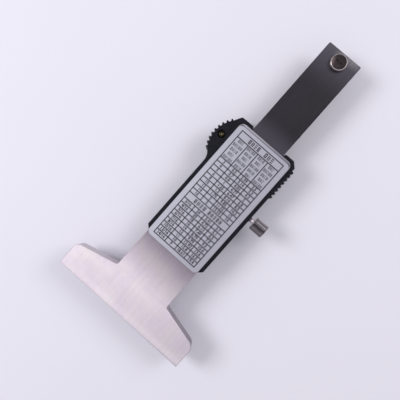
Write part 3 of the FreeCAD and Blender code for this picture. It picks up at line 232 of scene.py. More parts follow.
class Surface:
    """A material under construction, with the nodes that feed its Principled shader."""

    def __init__(self, name, **sockets):
        self.material = bpy.data.materials.new(name)
        self.material.use_nodes = True
        self.tree = self.material.node_tree
        self.shader = self.tree.nodes["Principled BSDF"]
        self.set(**sockets)

    def set(self, **sockets):
        """Give the shader's sockets values or links. Underscores stand for spaces."""
        for name, value in sockets.items():
            self.feed(self.shader.inputs[name.replace("_", " ")], value)

    def feed(self, socket, value):
        """Set a socket to a value, or link another node's output to it."""
        if isinstance(value, Number):
            value = value.socket
        if isinstance(value, bpy.types.NodeSocket):
            self.tree.links.new(value, socket)
        elif socket.type == "RGBA":
            socket.default_value = (*value[:3], 1)
        else:
            socket.default_value = value

    def node(self, kind, settings=None, inputs=None):
        """Add a node: its settings come first, then its sockets by name or number."""
        node = self.tree.nodes.new(kind)
        for name, value in (settings or {}).items():
            setattr(node, name, value)
        for name, value in (inputs or {}).items():
            self.feed(node.inputs[name], value)
        return node

    def math(self, operation, *values):
        node = self.node("ShaderNodeMath", {"operation": operation}, dict(enumerate(values)))
        return Number(self, node.outputs[0])

    def mix(self, share, low, high):
        """Blend two colours by a value from 0 to 1."""
        settings = {"data_type": "RGBA", "clamp_factor": True}
        node = self.node("ShaderNodeMix", settings, {0: share, 6: low, 7: high})
        return node.outputs[2]

    def product(self, first, second):
        """Two vectors or colours, multiplied part by part."""
        settings = {"operation": "MULTIPLY"}
        return self.node("ShaderNodeVectorMath", settings, {0: first, 1: second}).outputs[0]

    def scaled(self, vector, amount):
        """A vector or a colour, times one amount."""
        settings = {"operation": "SCALE"}
        return self.node("ShaderNodeVectorMath", settings, {0: vector, "Scale": amount}).outputs[0]

    def component(self, vector, axis):
        """The X, Y or Z of a vector."""
        parts = self.node("ShaderNodeSeparateXYZ", inputs={0: vector})
        return Number(self, parts.outputs["XYZ".index(axis)])

    def position(self):
        """The place in millimetres on the piece's own axes, which a dressed node shares with
        the frame."""
        return self.scaled(self.node("ShaderNodeTexCoord").outputs["Object"], 1 / MM)

    def along(self, axis):
        """One coordinate of the place, in millimetres."""
        return self.component(self.position(), axis)

    def facing(self, axis):
        """How far the surface faces along one axis of the piece, from -1 to 1."""
        return self.component(self.node("ShaderNodeTexCoord").outputs["Normal"], axis)

    def noise(self, scale, stretch=(1, 1, 1), detail=3.0, roughness=0.55):
        """Noise of about `scale` features a millimetre, stretched along the axes."""
        place = self.product(self.position(), stretch)
        inputs = {"Vector": place, "Scale": scale, "Detail": detail, "Roughness": roughness}
        return Number(self, self.node("ShaderNodeTexNoise", inputs=inputs).outputs[0])

    def ramp(self, value, low, high, kind="SMOOTHSTEP"):
        """Rise from 0 to 1 while the value goes from low to high."""
        node = self.node(
            "ShaderNodeMapRange",
            {"interpolation_type": kind},
            {"Value": value, "From Min": low, "From Max": high},
        )
        return Number(self, node.outputs[0])

    def relief(self, height, depth):
        """Raise and sink the surface by a value from 0 to 1 times a depth in millimetres."""
        bump = self.node("ShaderNodeBump", inputs={"Height": height, "Distance": depth * MM})
        self.set(Normal=bump.outputs[0])


def tint(colour, amount):
    """A fixed colour, made lighter or darker."""
    return tuple(min(1.0, c * amount) for c in colour)


def steel(name, colour, roughness, grain=(0.06, 1, 1), streak=0.1, depth=0.004):
    """Brushed steel of a fixed colour or of one that a function paints on the surface. The
    grain runs along the axis whose stretch is small."""
    surface = Surface(name, Metallic=1.0)
    fine = surface.noise(7.0, grain, detail=4.0)
    broad = surface.noise(0.9, grain, detail=2.0)
    blotch = surface.noise(0.12, detail=2.0)
    worn = fine * 0.45 + broad * 0.35 + blotch * 0.2
    shade = surface.ramp(worn, 0.3, 0.7)
    if callable(colour):
        painted = colour(surface)
        low, high = surface.scaled(painted, 1 - streak), surface.scaled(painted, 1 + streak)
    else:
        low, high = tint(colour, 1 - streak), tint(colour, 1 + streak)
    surface.set(Base_Color=surface.mix(shade, low, high))
    surface.set(Roughness=roughness + (fine - 0.5) * 0.22)
    surface.relief(fine * 0.7 + broad * 0.3, depth)
    return surface.material


def plastic(name, colour, roughness, gloss=0.45):
    """Moulded plastic with a fine spark-eroded grain and faint handling marks."""
    surface = Surface(name, Specular_IOR_Level=gloss)
    fine = surface.noise(6.0)
    marks = surface.ramp(surface.noise(0.35, detail=4.0), 0.4, 0.75)
    painted = surface.mix(marks, colour, tint(colour, 1.45))
    surface.set(Base_Color=painted, Roughness=roughness + (marks - 0.5) * 0.14)
    surface.relief(fine, 0.012)
    return surface.material


def printed(name, colour):
    """Ink with slight wear."""
    ink = Surface(name, Roughness=0.5)
    ink.set(Base_Color=ink.mix(ink.noise(2.5, detail=2.0), colour, tint(colour, 1.3)))
    return ink.material


def new_object(name, data):
    """Put a mesh, a curve, a camera or a lamp into the scene."""
    item = bpy.data.objects.new(name, data)
    bpy.context.scene.collection.objects.link(item)
    return item


def new_mesh_piece(name, work):
    """Turn a bmesh into an object of the scene."""
    bmesh.ops.recalc_face_normals(work, faces=work.faces)
    mesh = bpy.data.meshes.new(name)
    work.to_mesh(mesh)
    work.free()
    return new_object(name, mesh)


def shown_mesh(item):
    """The mesh that a curve, or a piece with modifiers, shows."""
    bpy.context.view_layer.update()
    shown = item.evaluated_get(bpy.context.evaluated_depsgraph_get())
    return bpy.data.meshes.new_from_object(shown)


def close_rows(work, rows):
    """Walls between rows of as many points each, and a cap on the first and the last row."""
    for lower, upper in zip(rows, rows[1:]):
        for step in range(len(lower)):
            after = (step + 1) % len(lower)
            work.faces.new((lower[step], lower[after], upper[after], upper[step]))
    work.faces.new(list(reversed(rows[0])))
    work.faces.new(rows[-1])


def ride_on(piece, node):
    """Let a piece ride where a node rides."""
    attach(piece, BODY_OF[node])


def stand_for(piece, node):
    """Let a piece ride where a node rides, and show it in the node's place."""
    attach(piece, BODY_OF[node])
    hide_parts(node)


def finish_faces(piece, material, angle):
    """Give a piece its material, and smooth shading but for edges over the angle."""
    piece.data.materials.append(material)
    piece.data.shade_smooth()
    piece.data.set_sharp_from_angle(angle=math.radians(angle))


def dressed(node, material, width):
    """A copy of a node's solid with softened edges, which stands for the node."""
    angle = 28
    work = bmesh.new()
    work.from_mesh(frame["nodes"][node].data)
    bmesh.ops.remove_doubles(work, verts=work.verts, dist=1e-7)
    bmesh.ops.dissolve_limit(
        work, angle_limit=math.radians(0.5), verts=work.verts, edges=work.edges
    )
    piece = new_mesh_piece(node + "_dressed", work)
    finish_faces(piece, material, angle)
    bevel = piece.modifiers.new("soft_edges", "BEVEL")
    bevel.width = width
    bevel.segments = 2
    bevel.limit_method = "ANGLE"
    bevel.angle_limit = math.radians(angle)
    bevel.harden_normals = True
    stand_for(piece, node)


def paint(node, material):
    """Give a node that stays as it is a better material."""
    mesh = frame["nodes"][node].data
    mesh.materials.clear()
    mesh.materials.append(material)


def turned(name, rings, count):
    """A closed turned form about Z from rings of (radius, height), both in metres, with count
    points each. A radius may be a function of the angle."""
    work = bmesh.new()
    rows = []
    for radius, height in rings:
        row = []
        for step in range(count):
            angle = math.tau * step / count
            r = radius(angle) if callable(radius) else radius
            row.append(work.verts.new((r * math.cos(angle), r * math.sin(angle), height)))
        rows.append(row)
    close_rows(work, rows)
    return new_mesh_piece(name, work)


def arc_rings(reach, rise, start, steps):
    """Rings of a quarter-round edge, which goes inwards by reach to the start's radius and up
    by rise from its height."""
    radius, height = start
    rings = []
    for step in range(steps + 1):
        angle = math.pi / 2 * step / steps
        rings.append((radius + reach * math.cos(angle), height + rise * math.sin(angle)))
    return rings


def cut_cross(piece, middle, top, reach, half_width, depth):
    """Cut a tapered cross recess into the level top of a piece."""
    above, wide_share, narrow_share = 0.2 * MM, 1.05, 0.85
    throat = half_width * 1.2
    quarter = [(reach, half_width), (throat, throat), (half_width, reach)]
    outline = []
    for turn in range(4):
        outline += [Matrix.Rotation(turn * math.pi / 2, 2) @ Vector(point) for point in quarter]
    work = bmesh.new()
    rows = []
    for share, level in ((narrow_share, top - depth), (wide_share, top + above)):
        rows.append([work.verts.new((p.x * share, p.y * share, level)) for p in outline])
    close_rows(work, rows)
    cutter = new_mesh_piece("cross_cutter", work)
    cutter.location = (middle.x, middle.y, 0)
    modifier = piece.modifiers.new("cross", "BOOLEAN")
    modifier.operation = "DIFFERENCE"
    modifier.solver = "EXACT"
    modifier.object = cutter
    mesh = shown_mesh(piece)
    piece.modifiers.clear()
    piece.data = mesh
    bpy.data.objects.remove(cutter)


def lettering(name, text, size, weight, place, ink):
    """Plain figures as a thin closed mesh, centred on the place and half sunk in it."""
    letters = bpy.data.curves.new(name, "FONT")
    letters.body = text
    letters.size = size
    letters.align_x = "CENTER"
    letters.align_y = "CENTER"
    letters.offset = weight
    letters.extrude = INK_DEPTH / 2
    letters.resolution_u = 2
    source = new_object(name, letters)
    mesh = shown_mesh(source)
    bpy.data.objects.remove(source)
    work = bmesh.new()
    work.from_mesh(mesh)
    bmesh.ops.remove_doubles(work, verts=work.verts, dist=1e-7)
    work.transform(place)
    piece = new_mesh_piece(name, work)
    piece.data.materials.append(ink)
    return piece


class GaugeOperator(bpy.types.Operator):
    """What the operators of this file share"""

    bl_options = {"REGISTER", "UNDO"}


class GAUGE_OT_frame(GaugeOperator):
    """Dress the steel slider frame and the small steel pieces in its rail"""

    bl_idname = "gauge.slider_frame"
    bl_label = "Slider frame"

    # Where painted light and shade change the steel's colour, in millimetres along X or Y of the
    # frame.
    grip_side_fade = (6.0, 30.0)
    band_rise, band_fall = (0.5, 1.2), (1.8, 4.0)
    band_fade = (12.0, 28.0)
    face_edge = (0.2, 0.6)
    neck_start = 16.3
    plate_fade = (-12.0, 9.0)
    # The same, in millimetres past the label's end: the painted shadow along it, and where the
    # plate's painted shade takes over.
    seam_rise, seam_fall = (-0.5, -0.1), (0.22, 0.38)

    def execute(self, context):
        settings = context.scene.gauge_steel
        far_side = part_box("slider_frame")[0].y / MM
        label_start, label_end = (corner.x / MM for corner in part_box("back_label"))

        def colour(surface):
            x, y = surface.along("X"), surface.along("Y")
            # Painted light and shade: the base is painted lit in the middle, and darker towards -Y
            # and towards +Y.
            lit = surface.ramp(y, far_side, far_side * 0.1)
            lit_top = lit * (1 - surface.ramp(y, *self.grip_side_fade) * 0.9)
            shade = surface.mix(lit_top, settings.base_far_colour, settings.base_colour)
            # Painted highlight in a band beside the measuring face, fading out towards +Y.
            band = surface.ramp(x, *self.band_rise) * (1 - surface.ramp(x, *self.band_fall))
            band = band * (1 - surface.ramp(y, *self.band_fade)) * 0.45
            shade = surface.mix(band, shade, settings.glow_colour)
            # Painted shade along the measuring face's edge, mostly on the shaded -Y side.
            edge = (1 - surface.ramp(x, *self.face_edge)) * (1 - lit * 0.8)
            shade = surface.mix(edge, shade, settings.wall_colour)
            # Painted shade that deepens along the neck up to the label.
            neck = surface.ramp(x, self.neck_start, label_start, "LINEAR")
            shade = surface.mix(neck, shade, settings.neck_colour)
            past_label = x - label_end
            # Painted shadow along the label's end.
            seam_shadow = surface.ramp(past_label, *self.seam_rise)
            shade = surface.mix(seam_shadow, shade, settings.seam_colour)
            # Painted shade on the plate past the label, deeper towards -Y.
            side = surface.ramp(y, *self.plate_fade)
            end = surface.mix(side, settings.plate_far_colour, settings.plate_colour)
            shade = surface.mix(surface.ramp(past_label, *self.seam_fall), shade, end)
            # Painted shade on the upright faces, lighter on the lit side.
            upright_shade = 1 - surface.ramp(abs(surface.facing("Z")), 0.6, 0.97)
            wall_shade = surface.mix(lit, settings.wall_far_colour, settings.wall_colour)
            shade = surface.mix(upright_shade, shade, wall_shade)
            cream = surface.ramp(surface.noise(0.13, detail=4.0, roughness=0.7), 0.4, 0.64)
            warm = surface.mix(cream, (0.99, 0.972, 0.99), (1.01, 1.02, 0.975))
            return surface.product(shade, warm)

        ground = steel("ground_steel", colour, 0.43, grain=(0.1, 1, 1), streak=0.065)
        dressed("slider_frame", ground, settings.edge_width)
        paint("gib_strip", steel("spring_steel", srgb(150, 150, 155), 0.3))
        paint("gib_set_screws", steel("set_screw_steel", srgb(90, 90, 94), 0.35))
        return {"FINISHED"}


class GAUGE_OT_beam(GaugeOperator):
    """Dress the dark brushed beam and the scale strip in its front"""

    bl_idname = "gauge.beam"
    bl_label = "Beam"

    # Where painted reflection lightens the steel and where the tip turns paler, in millimetres
    # past the housing, short of the beam's end and across the beam.
    near_fade = (-1.5, 9.0)
    far_length = 19.0
    tip_start, tip_full = 4.0, 0.3
    wear_middle, wear_fade = -2.0, (2.0, 7.0)
    # The pads of the scale strip.
    pad_pitch, pad_half, pad_edge = 5.08, 1.2, 0.05

    def execute(self, context):
        settings = context.scene.gauge_steel
        housing_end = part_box("housing_body")[1].x / MM
        beam_end, half = (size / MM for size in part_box("beam")[1][:2])

        def colour(surface):
            x, y = surface.along("X"), surface.along("Y")
            # Painted reflection: the beam lighter towards its end, near the housing and towards
            # +Y.
            side = surface.ramp(y, -half, half)
            far = surface.ramp(x, beam_end - self.far_length, beam_end) * (side * 0.3 + 0.7)
            near = 1 - surface.ramp(x - housing_end, *self.near_fade)
            share = far + near * 0.8 + side * 0.12
            shade = surface.mix(share, settings.beam_colour, settings.beam_end_colour)
            scuffs = surface.ramp(surface.noise(1.2, (0.25, 1, 1)), 0.3, 0.6)
            tip = surface.ramp(x, beam_end - self.tip_start, beam_end - self.tip_full)
            worn = 1 - surface.ramp(abs(y - self.wear_middle), *self.wear_fade) * 0.8
            tip = tip * (scuffs * 0.5 + 0.5) * worn
            return surface.mix(tip, shade, settings.beam_tip_colour)

        brushed = steel("beam_steel_brushed", colour, 0.34, grain=(0.07, 1, 1), streak=0.07)
        dressed("beam", brushed, settings.edge_width)
        film = Surface("scale_film", Roughness=0.3, Metallic=0.6)
        stripe = film.math("WRAP", film.along("X"), 0.0, self.pad_pitch)
        off_middle = abs(stripe - self.pad_pitch / 2)
        pad = film.ramp(off_middle, self.pad_half, self.pad_half + self.pad_edge)
        film.set(Base_Color=film.mix(pad, srgb(168, 128, 70), srgb(34, 60, 46)))
        paint("scale_strip", film.material)
        return {"FINISHED"}


class GAUGE_OT_stop_screw(GaugeOperator):
    """Turn the stop screw with its domed edge and cut its cross recess"""

    bl_idname = "gauge.stop_screw"
    bl_label = "Stop screw"
    shank = 1.25 * MM
    head_chamfer = 0.1 * MM
    side_height = 0.7 * MM
    flat_share = 0.85
    # The flat lies a little below the rim that surrounds it.
    rim_width, rim_height = 0.12 * MM, 0.05 * MM
    # Reach, half width and depth of the cross recess.
    cross = (1.5 * MM, 0.24 * MM, 0.35 * MM)

    def execute(self, context):
        settings = context.scene.gauge_steel
        low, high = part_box("stop_screw")
        middle = (low + high) / 2
        radius = (high.x - low.x) / 2
        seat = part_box("beam")[1].z
        flat = radius * self.flat_share
        rings = [(self.shank, low.z), (self.shank, seat), (radius - self.head_chamfer, seat)]
        rings += [(radius, seat + self.head_chamfer)]
        side = seat + self.side_height
        rings += arc_rings(radius - flat, high.z - side, (flat, side), 8)
        rings += [(flat - self.rim_width, high.z - self.rim_height)]
        piece = turned("stop_screw_turned", rings, 96)
        piece.location = (middle.x, middle.y, 0)
        cut_cross(piece, middle, high.z, *self.cross)

        def colour(surface):
            place = surface.node(
                "ShaderNodeVectorMath",
                {"operation": "DISTANCE"},
                {0: surface.position(), 1: (0, 0, high.z / MM)},
            )
            distance = Number(surface, place.outputs["Value"])
            # Painted reflection: the flat top dark, the domed edge pale.
            dark_flat_reflection = surface.ramp(distance, flat / MM - 0.04, flat / MM + 0.1)
            return surface.mix(dark_flat_reflection, settings.flat_colour, settings.ring_colour)

        metal = steel("stop_screw_nickel", colour, 0.27, (1, 1, 1), streak=0.2, depth=0.001)
        finish_faces(piece, metal, 35)
        stand_for(piece, "stop_screw")
        return {"FINISHED"}


class GAUGE_OT_lock_screw(GaugeOperator):
    """Turn the lock screw with its fluted head, its neck and its threaded stem"""

    bl_idname = "gauge.lock_screw"
    bl_label = "Lock screw"
    head_length = 5.6 * MM
    neck_length, neck_radius = 1.3 * MM, 0.8 * MM
    stem_radius, tip_chamfer = 1.0 * MM, 0.2 * MM
    thread_pitch, thread_depth, rings_a_turn = 0.4 * MM, 0.2 * MM, 8
    # Bare stem between the thread and what lies before and after it.
    thread_gap = 0.1 * MM
    flute_count, flute_depth = 24, 0.36 * MM
    chamfer, chamfer_step = 0.15 * MM, 0.05 * MM
    # The dimple in the head's end: outer and inner share of the radius, and depth.
    dimple_outer, dimple_inner, dimple_depth = 0.45, 0.35, 0.12 * MM
    # The head's pale lines are painted highlights: their pitch, and where they fade out from the
    # middle.
    line_pitch = 0.98
    line_fade = (1.2, 2.2)

    def execute(self, context):
        settings = context.scene.gauge_steel
        low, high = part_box("lock_screw")
        middle = (low + high) / 2
        radius = (high.x - low.x) / 2
        # The screw is turned about Z and then laid along Y, with its head towards -Y.
        tip, end = -high.y, -low.y
        head = end - self.head_length
        neck = head - self.neck_length

        def thread(height):
            def at(angle):
                wave = (height / self.thread_pitch - angle / math.tau) % 1
                return self.stem_radius - self.thread_depth * abs(2 * wave - 1)

            return at

        def fluted(inset):
            def at(angle):
                across = abs(2 * (angle * self.flute_count / math.tau % 1) - 1)
                return radius - inset - self.flute_depth * max(0.0, 1.25 * across - 0.25)

            return at

        rings = [(self.neck_radius * 0.8, tip), (self.neck_radius, tip + self.tip_chamfer)]
        height = tip + self.tip_chamfer + self.thread_gap
        while height < neck - self.thread_gap:
            rings.append((thread(height), height))
            height += self.thread_pitch / self.rings_a_turn
        face = radius - self.chamfer * 1.6
        rings += [
            (self.neck_radius, neck),
            (self.neck_radius, head),
            (face, head),
            (fluted(self.chamfer), head + self.chamfer_step),
            (fluted(0), head + self.chamfer),
            (fluted(0), end - self.chamfer),
            (fluted(self.chamfer), end - self.chamfer_step),
            (face, end),
            (radius * self.dimple_outer, end),
            (radius * self.dimple_inner, end - self.dimple_depth),
        ]
        piece = turned("lock_screw_turned", rings, self.flute_count * 10)
        piece.data.transform(Matrix.Rotation(math.pi / 2, 4, "X"))
        piece.location = (middle.x, 0, middle.z)

        def colour(surface):
            # Painted light and shade: lit crests, shaded flutes, half-lit end faces, pale lines of
            # painted highlight across the middle, a painted highlight on the stem and painted
            # shade on the side turned away.
            x, z = surface.along("X"), surface.along("Z")
            out = surface.math("SQRT", x * x + z * z)
            crest = surface.ramp(out, radius / MM - 0.24, radius / MM - 0.06)
            ends = surface.ramp(abs(surface.facing("Y")), 0.5, 0.9) * 0.6
            stem = self.stem_radius / MM
            inner = 1 - surface.ramp(out, stem + 0.1, stem + 0.2)
            lines = surface.math("SINE", x * (math.tau / self.line_pitch)) * 0.5 + 0.5
            middle_share = 1 - surface.ramp(abs(x), *self.line_fade)
            worn = lines * middle_share + (1 - middle_share) * 0.6
            share = surface.math("MAXIMUM", crest * worn, ends)
            share = surface.math("MAXIMUM", share, inner * 0.8)
            shade = surface.mix(share, settings.groove_colour, settings.screw_colour)
            shaded_side = 1 - surface.ramp(x, -radius * 0.8 / MM, 0.0)
            return surface.mix(shaded_side * 0.6, shade, settings.groove_colour)

        finish_faces(piece, steel("lock_screw_nickel", colour, 0.25, (1, 1, 1)), 32)
        stand_for(piece, "lock_screw")
        return {"FINISHED"}


class GAUGE_OT_mouldings(GaugeOperator):
    """Dress the black mouldings: the housing, its front and the battery door"""

    bl_idname = "gauge.mouldings"
    bl_label = "Mouldings"

    def execute(self, context):
        settings = context.scene.gauge_plastic
        colour = tuple(settings.colour)
        black = plastic("black_grained_plastic", colour, settings.roughness, gloss=0.14)
        dressed("housing_body", black, settings.edge_width)
        dressed("front_faceplate", black, settings.edge_width)
        dressed("battery_door", black, settings.edge_width / 2)
        paint("cover_screws", steel("cover_screw_steel", srgb(140, 140, 145), 0.3))
        return {"FINISHED"}


class GAUGE_OT_grip_screw(GaugeOperator):
    """Turn the small pan-headed screw in the grip and cut its cross recess"""

    bl_idname = "gauge.grip_screw"
    bl_label = "Grip screw"
    shank = 0.8 * MM
    head_height, dome_height = 0.75 * MM, 0.525 * MM
    flat_share = 0.5
    # Reach, half width and depth of the cross recess.
    cross = (0.82 * MM, 0.17 * MM, 0.3 * MM)
    # The painted highlight on the floor of the recess, in millimetres from the screw's middle.
    spot_edge = (0.15, 0.45)

    def execute(self, context):
        settings = context.scene.gauge_steel
        low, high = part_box("grip_screw")
        middle = (low + high) / 2
        radius = (high.x - low.x) / 2
        seat, side = high.z - self.head_height, high.z - self.dome_height
        flat = radius * self.flat_share
        rings = [(self.shank * 0.6, low.z), (self.shank, low.z + self.shank * 0.5)]
        rings += [(self.shank, seat), (radius, seat)]
        rings += arc_rings(radius - flat, self.dome_height, (flat, side), 6)
        piece = turned("grip_screw_turned", rings, 64)
        piece.location = (middle.x, middle.y, 0)
        cut_cross(piece, middle, high.z, *self.cross)

        def colour(surface):
            x, y = surface.along("X"), surface.along("Y")
            # Painted highlight on the floor of the recess.
            ring = surface.ramp(surface.math("SQRT", x * x + y * y), *self.spot_edge)
            return surface.mix(ring, settings.spot_colour, settings.brass_colour)

        finish_faces(piece, steel("brass_tinted", colour, 0.28, (1, 1, 1), 0.3), 35)
        stand_for(piece, "grip_screw")
        return {"FINISHED"}


class GAUGE_OT_buttons(GaugeOperator):
    """Dress the three buttons and print their plain signs"""

    bl_idname = "gauge.buttons"
    bl_label = "Buttons"
    signs = {"power_button": "ON/OFF", "unit_button": "mm/in", "zero_button": "0"}
    sign_size, sign_weight = 1.25 * MM, 0.03 * MM

    def execute(self, context):
        settings = context.scene.gauge_plastic
        grey = plastic("button_plastic", tuple(settings.button_colour), 0.5)
        ink = printed("button_ink", srgb(26, 26, 32))
        for node, sign in self.signs.items():
            dressed(node, grey, settings.edge_width)
            low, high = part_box(node)
            face = Vector(((low.x + high.x) / 2, (low.y + high.y) / 2, low.z))
            place = Matrix.Translation(face) @ Matrix.Rotation(math.pi, 4, "Y")
            size, weight = self.sign_size, self.sign_weight
            ride_on(lettering(node + "_sign", sign, size, weight, place, ink), node)
        return {"FINISHED"}


class GAUGE_OT_display(GaugeOperator):
    """Dress the window, the display glass and what lies behind it"""

    bl_idname = "gauge.display"
    bl_label = "Display and inner parts"

    # The reading's figures, and the room that its point takes beside the first one.
    figure_width, figure_height, figure_pitch = 3.6 * MM, 6.6 * MM, 5.2 * MM
    stroke_width, point_room = 0.75 * MM, 0.9 * MM

    def execute(self, context):
        clear = Surface("clear_window", Roughness=0.04, Transmission_Weight=1.0, IOR=1.49)
        clear.set(Base_Color=srgb(244, 247, 246))
        paint("display_window", clear.material)
        glass = Surface("display_grey", Roughness=0.18)
        cloud = glass.noise(0.5, detail=2.0)
        glass.set(Base_Color=glass.mix(cloud, srgb(150, 158, 142), srgb(164, 171, 156)))
        paint("display_glass", glass.material)
        paint("connector_strips", plastic("connector_rubber", srgb(70, 70, 74), 0.7))
        board = Surface("board_mask", Roughness=0.35)
        tracks = board.ramp(board.noise(1.4, (1, 0.2, 1), detail=1.0), 0.52, 0.56)
        board.set(Base_Color=board.mix(tracks, srgb(14, 62, 40), srgb(26, 92, 58)))
        paint("circuit_board", board.material)
        paint("driver_chip", plastic("chip_resin", srgb(20, 20, 22), 0.6))
        contact = steel("contact_steel", srgb(200, 196, 184), 0.28)
        for node in ("switch_domes", "minus_contact", "plus_contact"):
            paint(node, contact)
        paint("battery_cell", steel("cell_steel", srgb(208, 208, 210), 0.22, (1, 1, 1), 0.05))
        self.show_reading()
        return {"FINISHED"}

    def show_reading(self):
        """The reading 0.00 in plain seven-part figures on the display's glass."""
        low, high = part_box("display_glass")
        middle = (low + high) / 2
        work = bmesh.new()
        wide, tall, stroke = self.figure_width, self.figure_height, self.stroke_width
        for index in range(3):
            # The glass is read from below, so the first figure has the largest x. The point
            # follows it, so it also stands further out.
            centre = middle.x + (1 - index) * self.figure_pitch
            centre += self.point_room if index == 0 else 0
            for side in (-1, 1):
                for half in (-1, 1):
                    place = (centre + side * wide / 2, middle.y + half * tall / 4)
                    self.lay_stroke(work, place, (stroke, tall / 2 - stroke * 0.35), low.z)
            for end in (-1, 1):
                place = (centre, middle.y + end * tall / 2)
                self.lay_stroke(work, place, (wide - stroke * 1.35, stroke), low.z)
        point_x = middle.x + (self.figure_pitch + self.point_room) / 2
        self.lay_stroke(work, (point_x, middle.y - tall / 2), (stroke, stroke), low.z)
        reading = new_mesh_piece("display_reading", work)
        reading.data.materials.append(printed("display_ink", srgb(30, 32, 34)))
        ride_on(reading, "display_glass")

    def lay_stroke(self, work, place, size, level):
        """One part of a figure, as a thin closed block with slanted ends."""
        x, y = place
        long, wide = max(size) / 2, min(size) / 2
        nose = wide * 0.8
        outline = [(long, 0), (long - nose, wide), (nose - long, wide)]
        outline += [(-long, 0), (nose - long, -wide), (long - nose, -wide)]
        if size[1] > size[0]:
            outline = [(-v, u) for u, v in outline]
        rows = []
        for height in (level - INK_DEPTH / 2, level + INK_DEPTH / 2):
            rows.append([work.verts.new((x + u, y + v, height)) for u, v in outline])
        close_rows(work, rows)


class GAUGE_OT_label(GaugeOperator):
    """Dress the back label and print its table of figures"""

    bl_idname = "gauge.label"
    bl_label = "Back label"

    # The print, in millimetres of the frame.
    table_near = 34.28
    table_side_high = 10.65
    table_side_low = -10.5
    row_pitch = 2.046
    row_count = 9
    title_depth = 3.03
    heading_depth = 10.15
    dividers = (5.08, -0.07, -5.14)
    # The signs in the two title rows: first and last y, height and count.
    far_title = ((5.9, 0.0, 1.9, 4), (-2.2, -7.0, 1.9, 3))
    middle_title = ((6.7, 0.5, 1.7, 4), (-0.5, -7.6, 1.7, 5))
    # Where painted shade falls on the foil towards the far end, in millimetres along X.
    duller_fade = (62.0, 90.0)

    # Common threads. A thread's core is its size less so many pitches.
    sizes = (3, 4, 5, 6, 8, 10, 12, 14, 16)
    pitches = (0.5, 0.7, 0.8, 1, 1.25, 1.5, 1.75, 2, 2)
    metric_core = 1.2269
    sixteenths = (3, 4, 5, 6, 7, 8, 10, 12, 14)
    turns_an_inch = (24, 20, 18, 16, 14, 12, 11, 10, 9)
    inch_core = 1.2807

    def execute(self, context):
        settings = context.scene.gauge_label
        _, half, self.top = (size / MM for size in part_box("back_label")[1])
        dressed("back_label", self.foil(settings, half), 0.06 * MM)
        self.work = bmesh.new()
        self.line = settings.line_width / MM
        self.draw_table()
        ink = printed("label_ink", tuple(settings.ink_colour))
        lines = new_mesh_piece("label_lines", self.work)
        lines.data.materials.append(ink)
        ride_on(lines, "back_label")
        self.print_figures(settings, ink)
        return {"FINISHED"}

    def foil(self, settings, half):
        """Pale foil, brushed across the beam, with painted shade towards -Y and towards the far
        end.
        """
        foil = Surface("label_foil", Metallic=0.25)
        # Painted shade: darker towards -Y, and on the lit side darker towards the far end too.
        lit = foil.ramp(foil.along("Y"), -half, half, "LINEAR")
        brushed = foil.noise(5.0, (1, 0.06, 1))
        far_shade = foil.ramp(foil.along("X"), *self.duller_fade) * lit * 0.4
        share = lit * 0.85 + foil.noise(0.25) * 0.2 + (brushed - 0.5) * 0.5 - far_shade
        foil.set(Base_Color=foil.mix(share, settings.far_colour, settings.colour))
        foil.set(Roughness=0.38 + brushed * 0.1)
        foil.relief(brushed, 0.003)
        return foil.material

    def bar(self, x_low, x_high, y_low, y_high):
        """A thin closed block of ink on the label."""
        size = Vector((x_high - x_low, y_high - y_low, INK_DEPTH / MM)) * MM
        centre = Vector(((x_low + x_high) / 2, (y_low + y_high) / 2, self.top)) * MM
        place = Matrix.Translation(centre) @ Matrix.Diagonal((*size, 1))
        bmesh.ops.create_cube(self.work, size=1, matrix=place)

    def across(self, x):
        """A line of the table across the beam."""
        self.bar(x - self.line / 2, x + self.line / 2, self.table_side_low, self.table_side_high)

    def draw_table(self):
        """Two blocks of rows, with a title before the second one and another at the far end."""
        rows = self.row_pitch * self.row_count
        lower_end = self.table_near + rows
        upper_start = lower_end + self.title_depth
        upper_end = upper_start + rows
        heading_end = upper_end + self.heading_depth
        far = heading_end + self.title_depth
        self.blocks = (self.table_near, upper_start)
        half = self.line / 2
        for start in self.blocks:
            for row in range(self.row_count + 1):
                self.across(start + row * self.row_pitch)
        self.across(heading_end)
        self.across(far)
        for y in (self.table_side_low, self.table_side_high):
            self.bar(self.table_near - half, far + half, y - half, y + half)
        for y in self.dividers:
            self.bar(self.table_near, lower_end, y - half, y + half)
            self.bar(upper_start, heading_end, y - half, y + half)
        self.draw_headings(upper_end, heading_end)
        for start, title in ((heading_end, self.far_title), (lower_end, self.middle_title)):
            for signs in title:
                self.write_signs(start + self.title_depth / 2, *signs)

    def column_edges(self):
        """Both sides of each column, from +Y to -Y."""
        edges = (self.table_side_high, *self.dividers, self.table_side_low)
        return list(zip(edges, edges[1:]))

    def draw_headings(self, start, end):
        """Rows of small signs in place of the words over the columns."""
        rows, count = 5, 5
        pitch = (end - start) / rows
        for column, (left, right) in enumerate(self.column_edges()):
            for row in range(rows):
                signs = count - (row * 2 + column) % 3
                reach = (left - right) * 0.8 * signs / count
                first = (left + right + reach) / 2
                x = start + pitch * (row + 0.5)
                self.write_signs(x, first, first - reach, pitch * 0.64, signs, 0.22)

    def write_signs(self, x, first, last, height, count, stroke=0.4):
        """Count plain signs side by side, made of frames, pairs of bars and rungs in turn."""
        step = (first - last) / count
        wide = step * 0.68
        for index in range(count):
            left = first - index * step
            right, bottom, top = left - wide, x - height / 2, x + height / 2
            kind = index % 3
            if kind < 2:
                self.bar(bottom, top, left - stroke, left)
                self.bar(bottom, top, right, right + stroke)
            if kind != 1:
                self.bar(bottom, bottom + stroke, right, left)
                self.bar(top - stroke, top, right, left)
            if kind == 2:
                self.bar(x - stroke / 2, x + stroke / 2, right, left)

